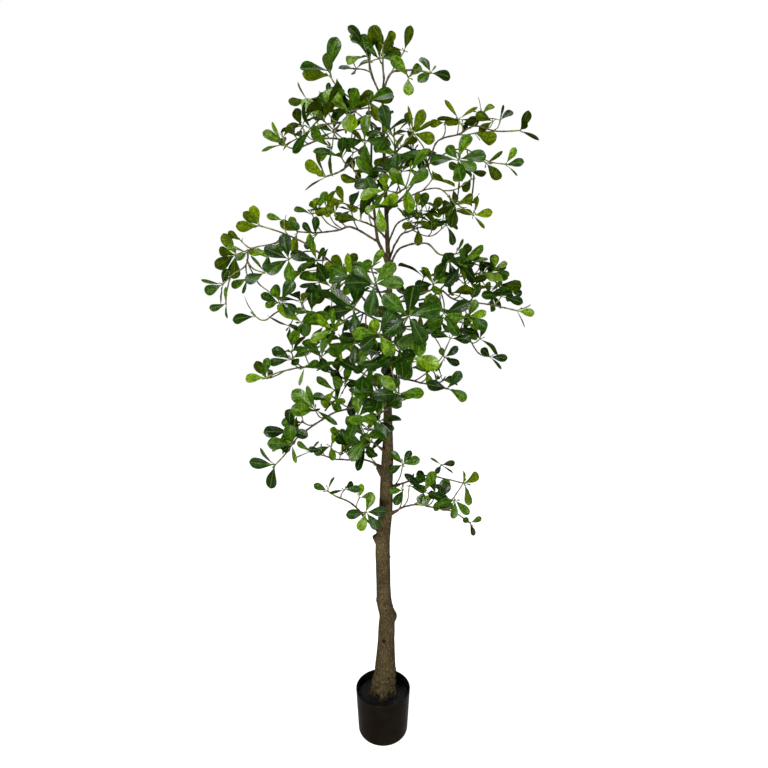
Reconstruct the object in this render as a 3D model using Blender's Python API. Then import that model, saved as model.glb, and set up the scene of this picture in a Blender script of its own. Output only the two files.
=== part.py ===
# Potted black olive tree: a slim 2.1 m tree with a stubbed, bent trunk in a small black pot.
# Metres, +Z up. The origin is the centre of the pot's flat base. -Y is the side seen in front.
import math
import random
from collections import namedtuple

import bmesh
import bpy
from mathutils import Quaternion, Vector
from mathutils.bvhtree import BVHTree

# Fit
GAP = 0.0003
CM = 0.01

# Pot: a 170 mm plastic grower's pot
POT_HEIGHT = 0.141
POT_RIM_RADIUS = 0.086
POT_BASE_RADIUS = 0.0775
POT_CORNER = 0.012
POT_WALL = 0.0025
POT_SIDES = 28
POT_CORNER_STEPS = 3
RIM_ROUNDING = 0.001
RIM_SOFTENING = 0.0006
POT_EDGE_ANGLE = 35.0

# What fills the pot
GRAVEL_BELOW_RIM = 0.025
GRAVEL_DEPTH = 0.016
GRAVEL_RELIEF = 0.0016
GRAVEL_RINGS = 2
GRAVEL_SEED = 11
FLARE_SEAT = 0.004
LEVEL_EDGE = 0.001
GRAVEL_TOP = POT_HEIGHT - GRAVEL_BELOW_RIM
WEIGHT_TOP = GRAVEL_TOP - GRAVEL_DEPTH

# Trunk
TRUNK_SIDES = 10
TRUNK_EDGE_ANGLE = 40.0
PEG_RADIUS = 0.018
PEG_SIDES = 16
PEG_BOTTOM = 0.035
PEG_OVERLAP = 0.01
FLARE_RADIUS = 0.045
FLARE_LOBES = 5
FLARE_LOBE_DEPTH = 0.10
FLARE_LOBE_TURN = 0.6
FLARE_FADE = 0.09

# Leafy limbs. A shoot is a limb or a side twig, and its hub is the short end that bears leaves.
LIMB_SIDES = 4
LIMB_ROOT_RADIUS = 0.0036
LIMB_TIP_RADIUS = 0.0023
TWIG_ROOT_RADIUS = 0.0019
TWIG_TIP_RADIUS = 0.0017
HUB_RADIUS = 0.0026
HUB_HEIGHT = 0.0016
LIMB_SPAN = 0.080
TWIG_SPAN = 0.060
SHOOT_KINK = 0.003
TWIG_FORWARD = 0.55
TWIG_ALONG_LIMB = 0.22
TWIG_TO_TIP = 0.275
TWIG_SAG = 0.06
TWIG_FIRST_START = 0.03
TWIG_LAST_SHARE = 0.9
END_LEAVES = 3

# Leaves
LEAF_LENGTH = 0.074
LEAF_WIDTH_RATIO = 0.45
LEAF_THICKNESS = 0.0008
LEAF_CLEAR = 0.0012
BLADE_STATIONS = ((0.45, 0.66), (0.80, 1.0))
NECK_SHARE = 0.3
FOOT_SHARE = 0.12
BLADE_END = (1.02, 0.35)
TRIES = 10

# How a whorl's leaves spread: angles in degrees from the shoot's own direction
LEAN = (46, 76)
UPRIGHT_LEAN = (38, 46)
UPRIGHT_SCALE = 0.8
BEND = (5, 38)
ROLL = (-28, 28)
UNEVEN = 10
WHORL_SCALE = (0.88, 1.10)
LEAF_SCALE = (0.86, 1.12)
WIDTH_SCALE = (0.92, 1.08)
SHRINK = 0.04

# A hub turns from its shoot's direction outwards, upwards and to the front, by these shares
OUTWARD_SHARE = (0.0, 0.3)
UPWARD_SHARE = (0.1, 0.9)
FRONT_SHARE = (0.0, 0.7)
FRONT = Vector((0.0, -1.0, 0.0))
UP = Vector((0.0, 0.0, 1.0))

# How a whorl that is listed in CLOCKS places its leaves. Its hub turns to the front, or away from
# it by chance where it stands above the viewer's eyes, who then sees its leaves from below. A leaf
# that finds no room is tried again, a little smaller and looser each time.
CLOCK_SIDES = 6
CLOCK_TRIES = 48
LOOSER_AFTER = 12
CLOCK_SHRINKS = 5
CLOCK_UNEVEN = 0.2
CLOCK_TILT = (-20, 35)
CLOCK_LEAN = (10, 130)
CLOCK_BACK = 30
CLOCK_FRONT = (0.5, 1.4)
CLOCK_BACKWARD = (-1.3, -0.3)
EYE_HEIGHT = 1.45
BACKWARD_CHANCE = 0.65
CLOCK_SCALE = (0.94, 1.06)
CLOCK_WIDTH_RATIO = 0.50
SLIM = 0.42
FACING = 0.75
MOST_TURN = math.radians(55)

# Centre and radius of the leader, from the root flare to the top: x, y, z and radius. The first
# two stand one above the other, so that the flare's underside lies level over the gravel.
LEADER_LINE = [
    (0.000, 0.000, GRAVEL_TOP + GAP, 0.0445),
    (0.000, 0.000, 0.135, 0.0415),
    (0.003, -0.001, 0.155, 0.0383),
    (0.007, 0.000, 0.185, 0.0338),
    (0.008, 0.002, 0.230, 0.0308),
    (0.010, 0.003, 0.300, 0.0263),
    (0.012, 0.002, 0.350, 0.0251),
    (0.014, 0.000, 0.380, 0.0249),
    (0.008, -0.002, 0.407, 0.0237),
    (0.003, -0.002, 0.435, 0.0229),
    (0.001, 0.000, 0.500, 0.0220),
    (-0.001, 0.003, 0.600, 0.0223),
    (0.002, 0.003, 0.650, 0.0216),
    (0.008, 0.000, 0.720, 0.0206),
    (0.011, -0.003, 0.815, 0.0195),
    (0.014, -0.002, 0.900, 0.0171),
    (0.015, 0.001, 0.980, 0.0143),
    (0.013, 0.004, 1.155, 0.0118),
    (0.019, 0.002, 1.330, 0.0088),
    (0.018, -0.002, 1.450, 0.0078),
    (0.013, -0.004, 1.530, 0.0067),
    (0.009, -0.001, 1.640, 0.0059),
    (0.003, 0.003, 1.800, 0.0049),
    (-0.001, 0.001, 1.940, 0.0037),
    (0.003, -0.001, 1.990, 0.0030),
]

# The second stem, which leaves the leader on the left at about 1.46 m
FORK_LINE = [
    (0.016, -0.002, 1.455, 0.0052),
    (-0.002, -0.010, 1.508, 0.0050),
    (-0.016, -0.014, 1.540, 0.0047),
    (-0.025, -0.014, 1.615, 0.0042),
    (-0.032, -0.010, 1.690, 0.0038),
    (-0.034, -0.006, 1.770, 0.0036),
    (-0.031, -0.004, 1.850, 0.0028),
]

# Sawn stubs: start, end and the two radii
STUBS = [
    ((-0.001, 0.003, 0.600), (-0.026, -0.006, 0.642), 0.0125, 0.0085),
    ((0.010, -0.002, 0.815), (-0.016, 0.002, 0.858), 0.0105, 0.0070),
    ((0.010, -0.002, 0.775), (0.032, 0.006, 0.800), 0.0095, 0.0065),
]
STUB_SIDES = 8
STUB_BEND_SHARE = 0.6
STUB_BEND = Vector((0.0, 0.0, -0.002))

LEADER = "leader"
FORK = "fork"

# A limb grows from one of the two stems at a height, along hand-chosen points, and ends in a
# whorl of leaves. Each of its side twigs is the number of leaves and the points the twig runs
# through. All of them are whole centimetres, and a route's last point is where its leaves sit.
Limb = namedtuple("Limb", "name stem height route twigs")
LIMBS = [
    Limb("low_left", LEADER, 64,
         [(-4, -3, 69), (-9, -6, 76), (-14, -8, 79), (-16, -9, 81)],
         [(5, [(-5, -7, 74)]), (3, [(-11, -11, 82)])]),
    Limb("low_right", LEADER, 70,
         [(7, -2, 74), (11, -3, 75), (16, -4, 74), (21, -5, 73), (26, -5, 70)],
         [(3, [(8, -1, 80)]), (4, [(16, -3, 78)]), (3, [(21, -8, 78)])]),
    Limb("knot_right", LEADER, 79,
         [(8, 4, 80), (14, 7, 81), (20, 10, 79), (27, 12, 77)],
         [(4, [(6, -2, 87)]), (4, [(19, 9, 84)])]),
    Limb("stub_left", LEADER, 85,
         [(-6, 4, 87), (-12, 7, 86), (-17, 10, 86), (-24, 12, 88)],
         [(4, [(-11, 5, 91)]), (3, [(-17, 10, 90)])]),
    Limb("bend_left", LEADER, 90,
         [(-2, -5, 94), (-5, -10, 97)],
         [(5, [(-7, -12, 103)])]),
    Limb("left_low", LEADER, 106,
         [(-5, -5, 106), (-10, -9, 105), (-14, -11, 104), (-19, -14, 101), (-23, -17, 98),
          (-26, -18, 94), (-29, -18, 91)],
         [(6, [(-18, -18, 106)]), (4, [(-25, -17, 100)]), (3, [(-30, -15, 96)])]),
    Limb("left_mid_low", LEADER, 111,
         [(-10, -4, 113), (-14, -7, 115), (-21, -9, 117), (-28, -10, 116), (-33, -10, 114)],
         [(4, [(-14, -6, 110)]), (5, [(-17, -12, 120)]), (4, [(-26, -8, 119)])]),
    Limb("left_mid", LEADER, 125,
         [(-10, 4, 130), (-20, 6, 133), (-31, 7, 134), (-37, 7, 131), (-40, 7, 132)],
         [(4, [(-32, 5, 136)]), (4, [(-26, 9, 137)]), (4, [(-16, 8, 137)])]),
    Limb("left_big", LEADER, 131,
         [(-4, -4, 135), (-12, -8, 144), (-20, -10, 150), (-27, -12, 153), (-33, -13, 155)],
         [(3, [(-31, -12, 148)]), (6, [(-24, -20, 145)]),
          (4, [(-27, -13, 151), (-34, -14, 149), (-39, -15, 147)]),
          (4, [(-36, -16, 144), (-39, -17, 142), (-42, -17, 139)]), (3, [(-41, -18, 134)]),
          (4, [(-31, -17, 142)]), (4, [(-27, -10, 157)])]),
    Limb("fork_left", FORK, 153,
         [(-9, -2, 157), (-13, -3, 156), (-19, -5, 155), (-24, -6, 155)],
         [(4, [(-14, -3, 161)]), (3, [(-19, -1, 162)]), (4, [(-9, -5, 161)])]),
    Limb("stem_left", LEADER, 154,
         [(-2, -5, 156), (-4, -10, 156), (-6, -14, 156)],
         [(4, [(-4, -9, 160)])]),
    Limb("upper_left_front", FORK, 174,
         [(-7, -6, 175), (-11, -11, 170), (-15, -15, 167)],
         [(4, [(-11, -12, 173)])]),
    Limb("upper_left_long", FORK, 177,
         [(-10, 5, 183), (-13, 7, 185), (-19, 9, 186), (-27, 10, 184), (-31, 10, 185)],
         [(4, [(-15, 6, 187)]), (3, [(-25, 10, 187)])]),
    Limb("leader_left_low", LEADER, 183,
         [(-4, -5, 185), (-10, -9, 183), (-15, -11, 182), (-19, -12, 180)],
         [(4, [(-10, -8, 186)]), (4, [(-5, -8, 179)])]),
    Limb("leader_left_high", LEADER, 190,
         [(-5, 3, 194), (-9, 5, 196), (-13, 7, 200), (-16, 8, 204)],
         [(4, [(-19, 10, 200)]), (4, [(-9, 1, 192)])]),
    Limb("top_left", LEADER, 194,
         [(-2, 3, 199), (-4, 5, 204), (-4, 6, 208)],
         [(3, [(-8, 6, 205)]), (4, [(-1, 6, 208)])]),
    Limb("top_leader", LEADER, 199,
         [(0, -1, 202), (0, -2, 207)],
         []),
    Limb("top_right", LEADER, 195,
         [(2, -3, 199), (5, -4, 199), (9, -6, 198), (13, -7, 197)],
         [(4, [(6, -3, 205)])]),
    Limb("upper_right_long", LEADER, 162,
         [(6, 3, 167), (10, 5, 173), (14, 6, 179), (17, 7, 185), (23, 7, 187), (28, 7, 189),
          (34, 6, 187), (41, 5, 187)],
         [(3, [(23, 7, 191)]), (3, [(30, 8, 193)]), (3, [(35, 5, 190)]), (4, [(19, 9, 191)]),
          (3, [(15, 0, 177), (22, -5, 178), (29, -7, 174), (34, -7, 173)]), (6, [(20, -13, 172)]),
          (4, [(11, -4, 167), (16, -7, 166), (20, -8, 162)]), (3, [(25, -8, 159)])]),
    Limb("right_up", LEADER, 148,
         [(4, 4, 154), (6, 6, 157), (9, 9, 159), (11, 11, 160)],
         [(5, [(15, 10, 157), (20, 12, 161)]), (4, [(12, 10, 165)])]),
    Limb("right_arch", LEADER, 146,
         [(4, -3, 150), (7, -6, 151), (12, -9, 151), (16, -10, 148), (20, -11, 148)],
         [(4, [(21, -12, 145)])]),
    Limb("right_long", LEADER, 135,
         [(6, -3, 137), (11, -5, 138), (16, -6, 139), (21, -6, 136), (30, -5, 135), (39, -4, 133)],
         [(5, [(14, -9, 140)]), (4, [(24, -8, 131)]), (3, [(34, -5, 137)]), (4, [(17, -10, 132)])]),
    Limb("right_back", LEADER, 136,
         [(10, 8, 137), (16, 12, 139), (22, 15, 144), (29, 16, 146), (36, 17, 147)],
         [(5, [(26, 14, 150)]), (4, [(32, 17, 151)])]),
    Limb("right_low", LEADER, 128,
         [(11, 8, 129), (16, 11, 127), (26, 15, 127), (32, 17, 120), (36, 17, 119)],
         [(4, [(20, 12, 119)]), (4, [(18, 11, 131)]), (4, [(26, 13, 130)])]),
    Limb("right_lowest", LEADER, 114,
         [(7, -5, 113), (13, -10, 112), (18, -12, 111)],
         [(4, [(12, -12, 116)])]),
    Limb("front_right_high", LEADER, 124,
         [(4, -14, 125), (6, -30, 130)],
         [(5, [(9, -25, 127)])]),
    Limb("front_mid", LEADER, 121,
         [(2, -12, 123), (-1, -27, 126)],
         [(4, [(4, -24, 123)])]),
    Limb("front_high", LEADER, 135,
         [(0, -10, 136), (-2, -26, 138)],
         [(5, [(-8, -22, 140)])]),
    Limb("front_left", LEADER, 128,
         [(-3, -12, 131), (-7, -25, 132)],
         [(5, [(-12, -27, 127)]), (4, [(-12, -22, 136)]), (5, [(-7, -24, 124)])]),
    Limb("back_left_high", LEADER, 139,
         [(-7, 12, 141), (-16, 20, 147), (-21, 24, 150)],
         [(5, [(-13, 18, 148)]), (3, [(-27, 22, 148)])]),
    Limb("front_low", LEADER, 110,
         [(-2, -12, 113), (-5, -23, 116)],
         [(5, [(-1, -21, 111)]), (5, [(-10, -22, 119)])]),
    Limb("front_lowest", LEADER, 103,
         [(1, -10, 105), (-3, -20, 104)],
         [(4, [(5, -15, 108)])]),
    Limb("front_right_low", LEADER, 115,
         [(4, -14, 114), (4, -25, 111)],
         [(5, [(7, -22, 120)])]),
    Limb("back_right", LEADER, 123,
         [(5, 12, 121), (10, 28, 115)],
         [(4, [(15, 26, 118)])]),
    Limb("back_high", LEADER, 142,
         [(5, 15, 141), (9, 30, 140)],
         [(4, [(13, 30, 135)])]),
    Limb("back_left", LEADER, 119,
         [(-4, 15, 121), (-11, 30, 120)],
         [(4, [(-6, 30, 126)]), (4, [(-15, 28, 125)])]),
    Limb("upper_front", LEADER, 161,
         [(3, -9, 164), (6, -19, 163)],
         [(5, [(3, -17, 167)])]),
    Limb("upper_back", LEADER, 168,
         [(3, 10, 177), (10, 20, 187)],
         [(4, [(3, 16, 184)])]),
    Limb("upper_mid", LEADER, 175,
         [(4, -6, 177), (8, -12, 179)],
         [(4, [(1, -10, 180)])]),
    Limb("fork_back", FORK, 171,
         [(-5, 10, 179), (-6, 20, 189)],
         [(4, [(-10, 22, 187)])]),
    Limb("fork_top", FORK, 185,
         [(-4, -1, 188), (-4, -2, 192)],
         []),
    Limb("fork_back_low", FORK, 159,
         [(-7, 11, 166), (-13, 20, 170)],
         [(3, [(-18, 20, 171)]), (4, [(-5, 14, 171)])]),
    Limb("right_back_high", LEADER, 152,
         [(5, 12, 162), (16, 20, 167)],
         [(4, [(11, 20, 169)]), (4, [(23, 22, 168)])]),
]

# How the leaves of a whorl look in the photograph: their size in percent, and an hour of the clock
# for each leaf, as seen from the front. A minus sign marks a slim leaf. Whorl 0 is the one at the
# limb's own end, the others are those of its side twigs in order. The leaves of a whorl that isn't
# listed spread by chance.
CLOCKS = {
    "low_left": {0: (62, 10, -1), 1: (80, 9.2, 6.6, 12.8, 3, 4.9), 2: (60, 2.2, 3, -8.9)},
    "low_right": {0: (48, 5.6, 10.2, 2.2), 1: (70, -12.7, 2.3, 3.3), 2: (80, 11.3, 1.3, 8, 4.8),
                  3: (70, 9, 6.2, 4.6)},
    "knot_right": {0: (93, 12.1, 1.6, 5.6), 1: (75, 8, 10.4, 1.2, 2.2), 2: (60, -10.2, 2.8, -4, 7.3)},
    "stub_left": {0: (70, 10, -1.3, -8.3), 1: (85, 7.4, 10.4, 3, 11.4), 2: (75, 8, 5.8, 1)},
    "bend_left": {1: (85, 3, 6.8, 11.8, 1.8)},
    "left_low": {0: (95, 9.2, 6.3, -11), 1: (100, 10.5, 9, 7.3, -4, -11.6, 8.2),
                 2: (86, 9.2, 12.3, 4.3, 8.4), 3: (80, 2.4, 3.8)},
    "left_mid_low": {0: (74, 8.7, 11.6, 12.2), 3: (85, 8.8, 4, 10, 2.2)},
    "left_mid": {0: (100, 8.7, -11.4), 1: (76, 11.4, 8.4, 9.8, 3.6)},
    "left_big": {0: (80, 11.4, 10, 8.5), 1: (70, 6.2, 2.4, 9), 2: (86, 9.8, 7.9, 12, 5.8, 11.1),
                 3: (85, 10.9, 8.9, 7.4, 6.2), 4: (70, 8.4, -6.2, -9.3, 12.8), 5: (60, 8.6, -5.7, -12.4),
                 6: (72, 8.1, -10.6, -2), 7: (62, 9.5, 4.2)},
    "fork_left": {0: (75, 10.8, 9.9, 6.4), 1: (75, 11.7, 12.9, 2.9, 9), 2: (75, 12.8, 3.2, 4)},
    "stem_left": {0: (82, 12.6, 3, 9)},
    "upper_left_front": {0: (85, 10.2, -8.1, -11.2)},
    "upper_left_long": {0: (93, 9.9, -8.1, -11.3)},
    "leader_left_high": {0: (105, 11.9, 9.2), 1: (65, 3.9, 5.2, 7.3)},
    "top_left": {0: (104, 11.4, 9.0, 10.2), 1: (85, 9.9, 12, 2), 2: (84, 1.3, 2.6, 11.7)},
    "top_leader": {0: (75, 1.4, 11.0)},
    "top_right": {0: (76, 3.0, 7.6, 11.2), 1: (78, 12.7, -9.2)},
    "upper_right_long": {0: (80, 12.6, 1.3, -3.9), 1: (85, -10.6, -2.3, -3.4, -8.8),
                         2: (64, -11.2, 1.8, -8.7), 3: (64, -12.4, 1.6, -9.2), 4: (60, 9, 3),
                         5: (65, 1.0, 2.9, -4.9),
                         6: (100, 11, 1, 3, 4.4, 6, 9), 7: (84, -12, 2.6, 6.2, 8.2),
                         8: (66, -12.1, 3, -4.8)},
    "right_up": {0: (75, 6.1, 9.1, 2.6), 1: (85, 5.2, 3.2, 9, 12.2, 1.5), 2: (80, 6.6, 12.4, 8.8, 3.5)},
    "right_arch": {0: (58, -0.6, 2.4)},
    "right_long": {0: (70, 3.2, -2.4, -5), 2: (85, 2.6, 12.9, 4, 8.8), 3: (85, 2.7, 3.6, 8.8)},
    "right_back": {0: (80, 11.8, 1.9, 3.9), 1: (75, 12.3, 9.3, 2.8, 5, 7), 2: (80, 8.9, 4, 5)},
    "right_low": {0: (76, 3.2, 10.4, -4.6), 1: (72, 1.4, 4, -6.9, 11.2), 2: (85, 5.2, 6.2, 2.6, 9.2)},
    "right_lowest": {0: (82, 1.3, 4.2, 9.3), 1: (60, 5.4, 10.6)},
    "front_right_high": {0: (100, 12.3, 10.3, 2.7, 7.6, 5.1), 1: (90, 6.3, 7.6, 10, 2)},
    "front_mid": {0: (90, 9, 7.6, 4.8, 1.2)},
    "front_high": {0: (98, 10.3, 1.3, 3.1, 6.3, 8.8)},
    "front_left": {0: (90, 10.2, 5.8, 8.6, 12.5)},
    "back_left_high": {1: (85, 10.6, 9.4, 1.5, 3.2, 7), 2: (80, 8.4, 1.4, 3.6)},
    "front_lowest": {1: (60, 12.9, 10.4, 11.6, 1.9)},
    "front_right_low": {0: (85, 2.9, 10.6, 9), 1: (95, 3.7, 11, 8.5, 6.5)},
    "back_right": {1: (55, 8.9, 3.9)},
    "upper_mid": {0: (85, -11.7, 12.9, -2.2, 3.6)},
    "fork_top": {0: (95, 2.5, 4, 9)},
    "fork_back_low": {0: (72, 4, 9.5, 11.4), 1: (75, 6.3, 9, 3)},
    "right_back_high": {0: (80, 5.5, 1.2, 3.5), 1: (62, 12.2, 5.8, 8.6, 2.5)},
}

Shoot = namedtuple("Shoot", "nodes radii sides axis turn leaves")
Leaf = namedtuple("Leaf", "side heading lean bend roll length width")


def add_object(name, mesh, material):
    """Links a mesh to the scene as a named object with its material."""
    mesh.materials.clear()
    mesh.materials.append(material)
    shape = bpy.data.objects.new(name, mesh)
    bpy.context.scene.collection.objects.link(shape)
    return shape


def make_material(name, colour, roughness):
    """A plain Principled material."""
    material = bpy.data.materials.new(name)
    material.use_nodes = True
    shader = material.node_tree.nodes["Principled BSDF"]
    shader.inputs["Base Color"].default_value = (*colour, 1.0)
    shader.inputs["Roughness"].default_value = roughness
    shader.inputs["Metallic"].default_value = 0.0
    return material


def mesh_from(name, vertices, faces):
    """A mesh with every face split into triangles."""
    mesh = bpy.data.meshes.new(name)
    mesh.from_pydata([tuple(v) for v in vertices], [], faces)
    work = bmesh.new()
    work.from_mesh(mesh)
    bmesh.ops.triangulate(work, faces=work.faces[:])
    work.to_mesh(mesh)
    work.free()
    return mesh


def smooth_shading(shape, angle):
    """Shades a round piece smooth, with its edges kept."""
    shape.data.shade_smooth()
    shape.data.set_sharp_from_angle(angle=math.radians(angle))


def turned(profile, sides):
    """Vertices and faces of a profile turned round Z, given from the bottom centre, outside, up."""
    vertices = []
    rings = []
    for radius, height in profile:
        if radius == 0.0:
            rings.append([len(vertices)])
            vertices.append(Vector((0.0, 0.0, height)))
            continue
        rings.append(list(range(len(vertices), len(vertices) + sides)))
        for step in range(sides):
            angle = math.tau * step / sides
            vertices.append(Vector((radius * math.cos(angle), radius * math.sin(angle), height)))
    faces = []
    for lower, upper in zip(rings, rings[1:]):
        for step in range(sides):
            after = (step + 1) % sides
            if len(lower) == 1:
                faces.append((lower[0], upper[after], upper[step]))
            elif len(upper) == 1:
                faces.append((lower[step], lower[after], upper[0]))
            else:
                faces.append((lower[step], lower[after], upper[after], upper[step]))
    return vertices, faces


def pot_radius(height):
    """Outer radius of the pot's straight side at a height."""
    share = height / POT_HEIGHT
    return POT_BASE_RADIUS + (POT_RIM_RADIUS - POT_BASE_RADIUS) * share


def build_pot(material):
    """The pot: a flat base, a rounded corner, a nearly straight side and a thin plain rim."""
    corner_centre = pot_radius(POT_CORNER) - POT_CORNER
    outer = [(0.0, 0.0), (corner_centre, 0.0)]
    for step in range(1, POT_CORNER_STEPS + 1):
        angle = math.radians(90.0 * step / POT_CORNER_STEPS)
        outer.append((corner_centre + POT_CORNER * math.sin(angle),
                      POT_CORNER * (1.0 - math.cos(angle))))
    rim = [
        (POT_RIM_RADIUS, POT_HEIGHT - RIM_ROUNDING),
        (POT_RIM_RADIUS - RIM_SOFTENING, POT_HEIGHT),
        (POT_RIM_RADIUS - POT_WALL + RIM_SOFTENING, POT_HEIGHT),
        (POT_RIM_RADIUS - POT_WALL, POT_HEIGHT - RIM_ROUNDING),
    ]
    inner = [
        (pot_radius(POT_CORNER) - POT_WALL, POT_CORNER),
        (corner_centre, POT_WALL),
        (0.0, POT_WALL),
    ]
    vertices, faces = turned(outer + rim + inner, POT_SIDES)
    pot = add_object("pot", mesh_from("pot", vertices, faces), material)
    smooth_shading(pot, POT_EDGE_ANGLE)
    return pot


def ring_body(levels, hole):
    """A solid round the trunk's peg: the turned outside, with a plain hole through it."""
    outside = [(hole, levels[0][1])] + levels + [(hole, levels[-1][1])]
    vertices = []
    for radius, height in outside:
        for step in range(POT_SIDES):
            angle = math.tau * step / POT_SIDES
            vertices.append(Vector((radius * math.cos(angle), radius * math.sin(angle), height)))
    faces = []
    count = len(outside)
    for level in range(count):
        upper = (level + 1) % count
        for step in range(POT_SIDES):
            after = (step + 1) % POT_SIDES
            faces.append((level * POT_SIDES + step, level * POT_SIDES + after,
                          upper * POT_SIDES + after, upper * POT_SIDES + step))
    return vertices, faces


def build_pot_weight(material):
    """The cast cement plug that fills the pot below the gravel and grips the peg."""
    bottom = POT_WALL + GAP
    levels = [
        (pot_radius(POT_CORNER) - POT_WALL - POT_CORNER - GAP, bottom),
        (pot_radius(POT_CORNER) - POT_WALL - 2.0 * GAP, POT_CORNER + GAP),
        (pot_radius(WEIGHT_TOP) - POT_WALL - 2.0 * GAP, WEIGHT_TOP),
    ]
    hole = PEG_RADIUS + 2.0 * GAP
    vertices, faces = ring_body(levels, hole)
    weight = add_object("pot_weight", mesh_from("pot_weight", vertices, faces), material)
    smooth_shading(weight, POT_EDGE_ANGLE)
    return weight


def build_gravel(material):
    """The gravel round the trunk: flat under the root flare and rough out to the wall."""
    bottom = WEIGHT_TOP + GAP
    wall = pot_radius(bottom) - POT_WALL - 2.0 * GAP
    flat = FLARE_RADIUS + FLARE_SEAT
    levels = [(wall, bottom), (wall, GRAVEL_TOP - GRAVEL_RELIEF)]
    for step in range(1, GRAVEL_RINGS + 1):
        levels.append((wall + (flat - wall) * step / GRAVEL_RINGS, GRAVEL_TOP))
    vertices, faces = ring_body(levels, PEG_RADIUS + 2.0 * GAP)
    draw = random.Random(GRAVEL_SEED)
    for vertex in vertices:
        radius = math.hypot(vertex.x, vertex.y)
        if vertex.z == GRAVEL_TOP and flat + LEVEL_EDGE < radius < wall - LEVEL_EDGE:
            vertex.z -= draw.uniform(0.0, 2.0 * GRAVEL_RELIEF)
    return add_object("gravel_bed", mesh_from("gravel_bed", vertices, faces), material)


def frame_round(axis, turn):
    """Two directions at right angles to an axis, turned about it."""
    first = Quaternion(axis, turn) @ axis.orthogonal().normalized()
    return first, axis.cross(first)


def tube_rings(nodes, tangents, start_side):
    """Ring directions carried from the last node back to the first without twisting."""
    sides_at = [None] * len(nodes)
    first = start_side
    for index in range(len(nodes) - 1, -1, -1):
        tangent = tangents[index]
        first = (first - tangent * first.dot(tangent)).normalized()
        sides_at[index] = (first, tangent.cross(first))
    return sides_at


def tangents_of(nodes, last):
    """Directions along a route, with the last one given."""
    result = [(nodes[1] - nodes[0]).normalized()]
    for before, after in zip(nodes, nodes[2:]):
        result.append((after - before).normalized())
    result.append(last)
    return result


def build_tube(nodes, radii, sides, shape_at=None):
    """A closed tube along a route. shape_at scales the radius by ring and angle."""
    last = (nodes[-1] - nodes[-2]).normalized()
    tangents = tangents_of(nodes, last)
    frames = tube_rings(nodes, tangents, last.orthogonal().normalized())
    vertices = []
    for index, (node, radius) in enumerate(zip(nodes, radii)):
        first, second = frames[index]
        for step in range(sides):
            angle = math.tau * step / sides
            reach = radius * (shape_at(index, angle) if shape_at else 1.0)
            outward = first * math.cos(angle) + second * math.sin(angle)
            vertices.append(node + outward * reach)
    faces = [tuple(range(sides - 1, -1, -1))]
    for index in range(len(nodes) - 1):
        low = index * sides
        high = low + sides
        for step in range(sides):
            after = (step + 1) % sides
            faces.append((low + step, low + after, high + after, high + step))
    faces.append(tuple(range(len(vertices) - sides, len(vertices))))
    return vertices, faces


def join_all(name, parts, material):
    """One solid from several that overlap, by a Boolean union on a collection."""
    base = add_object(name, parts[0], material)
    if len(parts) > 1:
        group = bpy.data.collections.new(name + "_joined")
        bpy.context.scene.collection.children.link(group)
        for index, part in enumerate(parts[1:]):
            piece = bpy.data.objects.new(name + "_" + str(index), part)
            group.objects.link(piece)
        join = base.modifiers.new("join", "BOOLEAN")
        join.operation = "UNION"
        join.operand_type = "COLLECTION"
        join.collection = group
        apply_modifiers(base)
        for piece in list(group.objects):
            bpy.data.objects.remove(piece)
        bpy.data.collections.remove(group)
    return base


def apply_modifiers(shape):
    """Keeps a shape as its modifiers leave it."""
    graph = bpy.context.evaluated_depsgraph_get()
    done = bpy.data.meshes.new_from_object(shape.evaluated_get(graph))
    shape.modifiers.clear()
    shape.data = done


def flare_shape(index, angle):
    """Root lobes round the foot of the trunk, which fade out upwards."""
    rise = LEADER_LINE[index][2] - LEADER_LINE[0][2]
    fade = max(0.0, 1.0 - rise / FLARE_FADE)
    return 1.0 + FLARE_LOBE_DEPTH * fade * math.cos(FLARE_LOBES * angle + FLARE_LOBE_TURN)


def trunk_parts(spare):
    """The trunk's overlapping pieces, each grown outwards by a spare amount."""
    parts = []
    for line, sides, shape_at in ((LEADER_LINE, TRUNK_SIDES, flare_shape), (FORK_LINE, STUB_SIDES, None)):
        nodes = [Vector(row[:3]) for row in line]
        nodes[-1] += (nodes[-1] - nodes[-2]).normalized() * spare
        radii = [row[3] + spare for row in line]
        parts.append(build_tube(nodes, radii, sides, shape_at))
    for start, end, wide, narrow in STUBS:
        start = Vector(start)
        end = Vector(end)
        end += (end - start).normalized() * spare
        middle = start.lerp(end, STUB_BEND_SHARE) + STUB_BEND
        radii = [wide + spare, (wide + narrow) / 2.0 + spare, narrow + spare]
        parts.append(build_tube([start, middle, end], radii, STUB_SIDES))
    return parts


def build_trunk(name, spare, material):
    """The trunk: leader, second stem and stubs, with a plain peg below the root flare."""
    parts = [mesh_from(name, *part) for part in trunk_parts(spare)]
    peg_bottom = Vector((0.0, 0.0, PEG_BOTTOM))
    peg_top = Vector((0.0, 0.0, LEADER_LINE[0][2] + PEG_OVERLAP))
    peg = build_tube([peg_bottom, peg_top], [PEG_RADIUS + spare] * 2, PEG_SIDES)
    parts.append(mesh_from(name, *peg))
    trunk = join_all(name, parts, material)
    smooth_shading(trunk, TRUNK_EDGE_ANGLE)
    return trunk


def point_on(line, height):
    """The centre of a stem at a height."""
    for low, high in zip(line, line[1:]):
        if low[2] <= height <= high[2]:
            share = (height - low[2]) / (high[2] - low[2])
            return Vector(low[:3]).lerp(Vector(high[:3]), share)
    return Vector(line[-1][:3])


def spline_point(points, index, share):
    """A point on the smooth curve through hand-chosen points."""
    before = points[max(index - 1, 0)]
    here = points[index]
    there = points[index + 1]
    beyond = points[min(index + 2, len(points) - 1)]
    square = share * share
    cube = square * share
    return (here * (1.5 * cube - 2.5 * square + 1.0)
            + there * (-1.5 * cube + 2.0 * square + 0.5 * share)
            + before * (-0.5 * cube + square - 0.5 * share)
            + beyond * (0.5 * cube - 0.5 * square))


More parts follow.
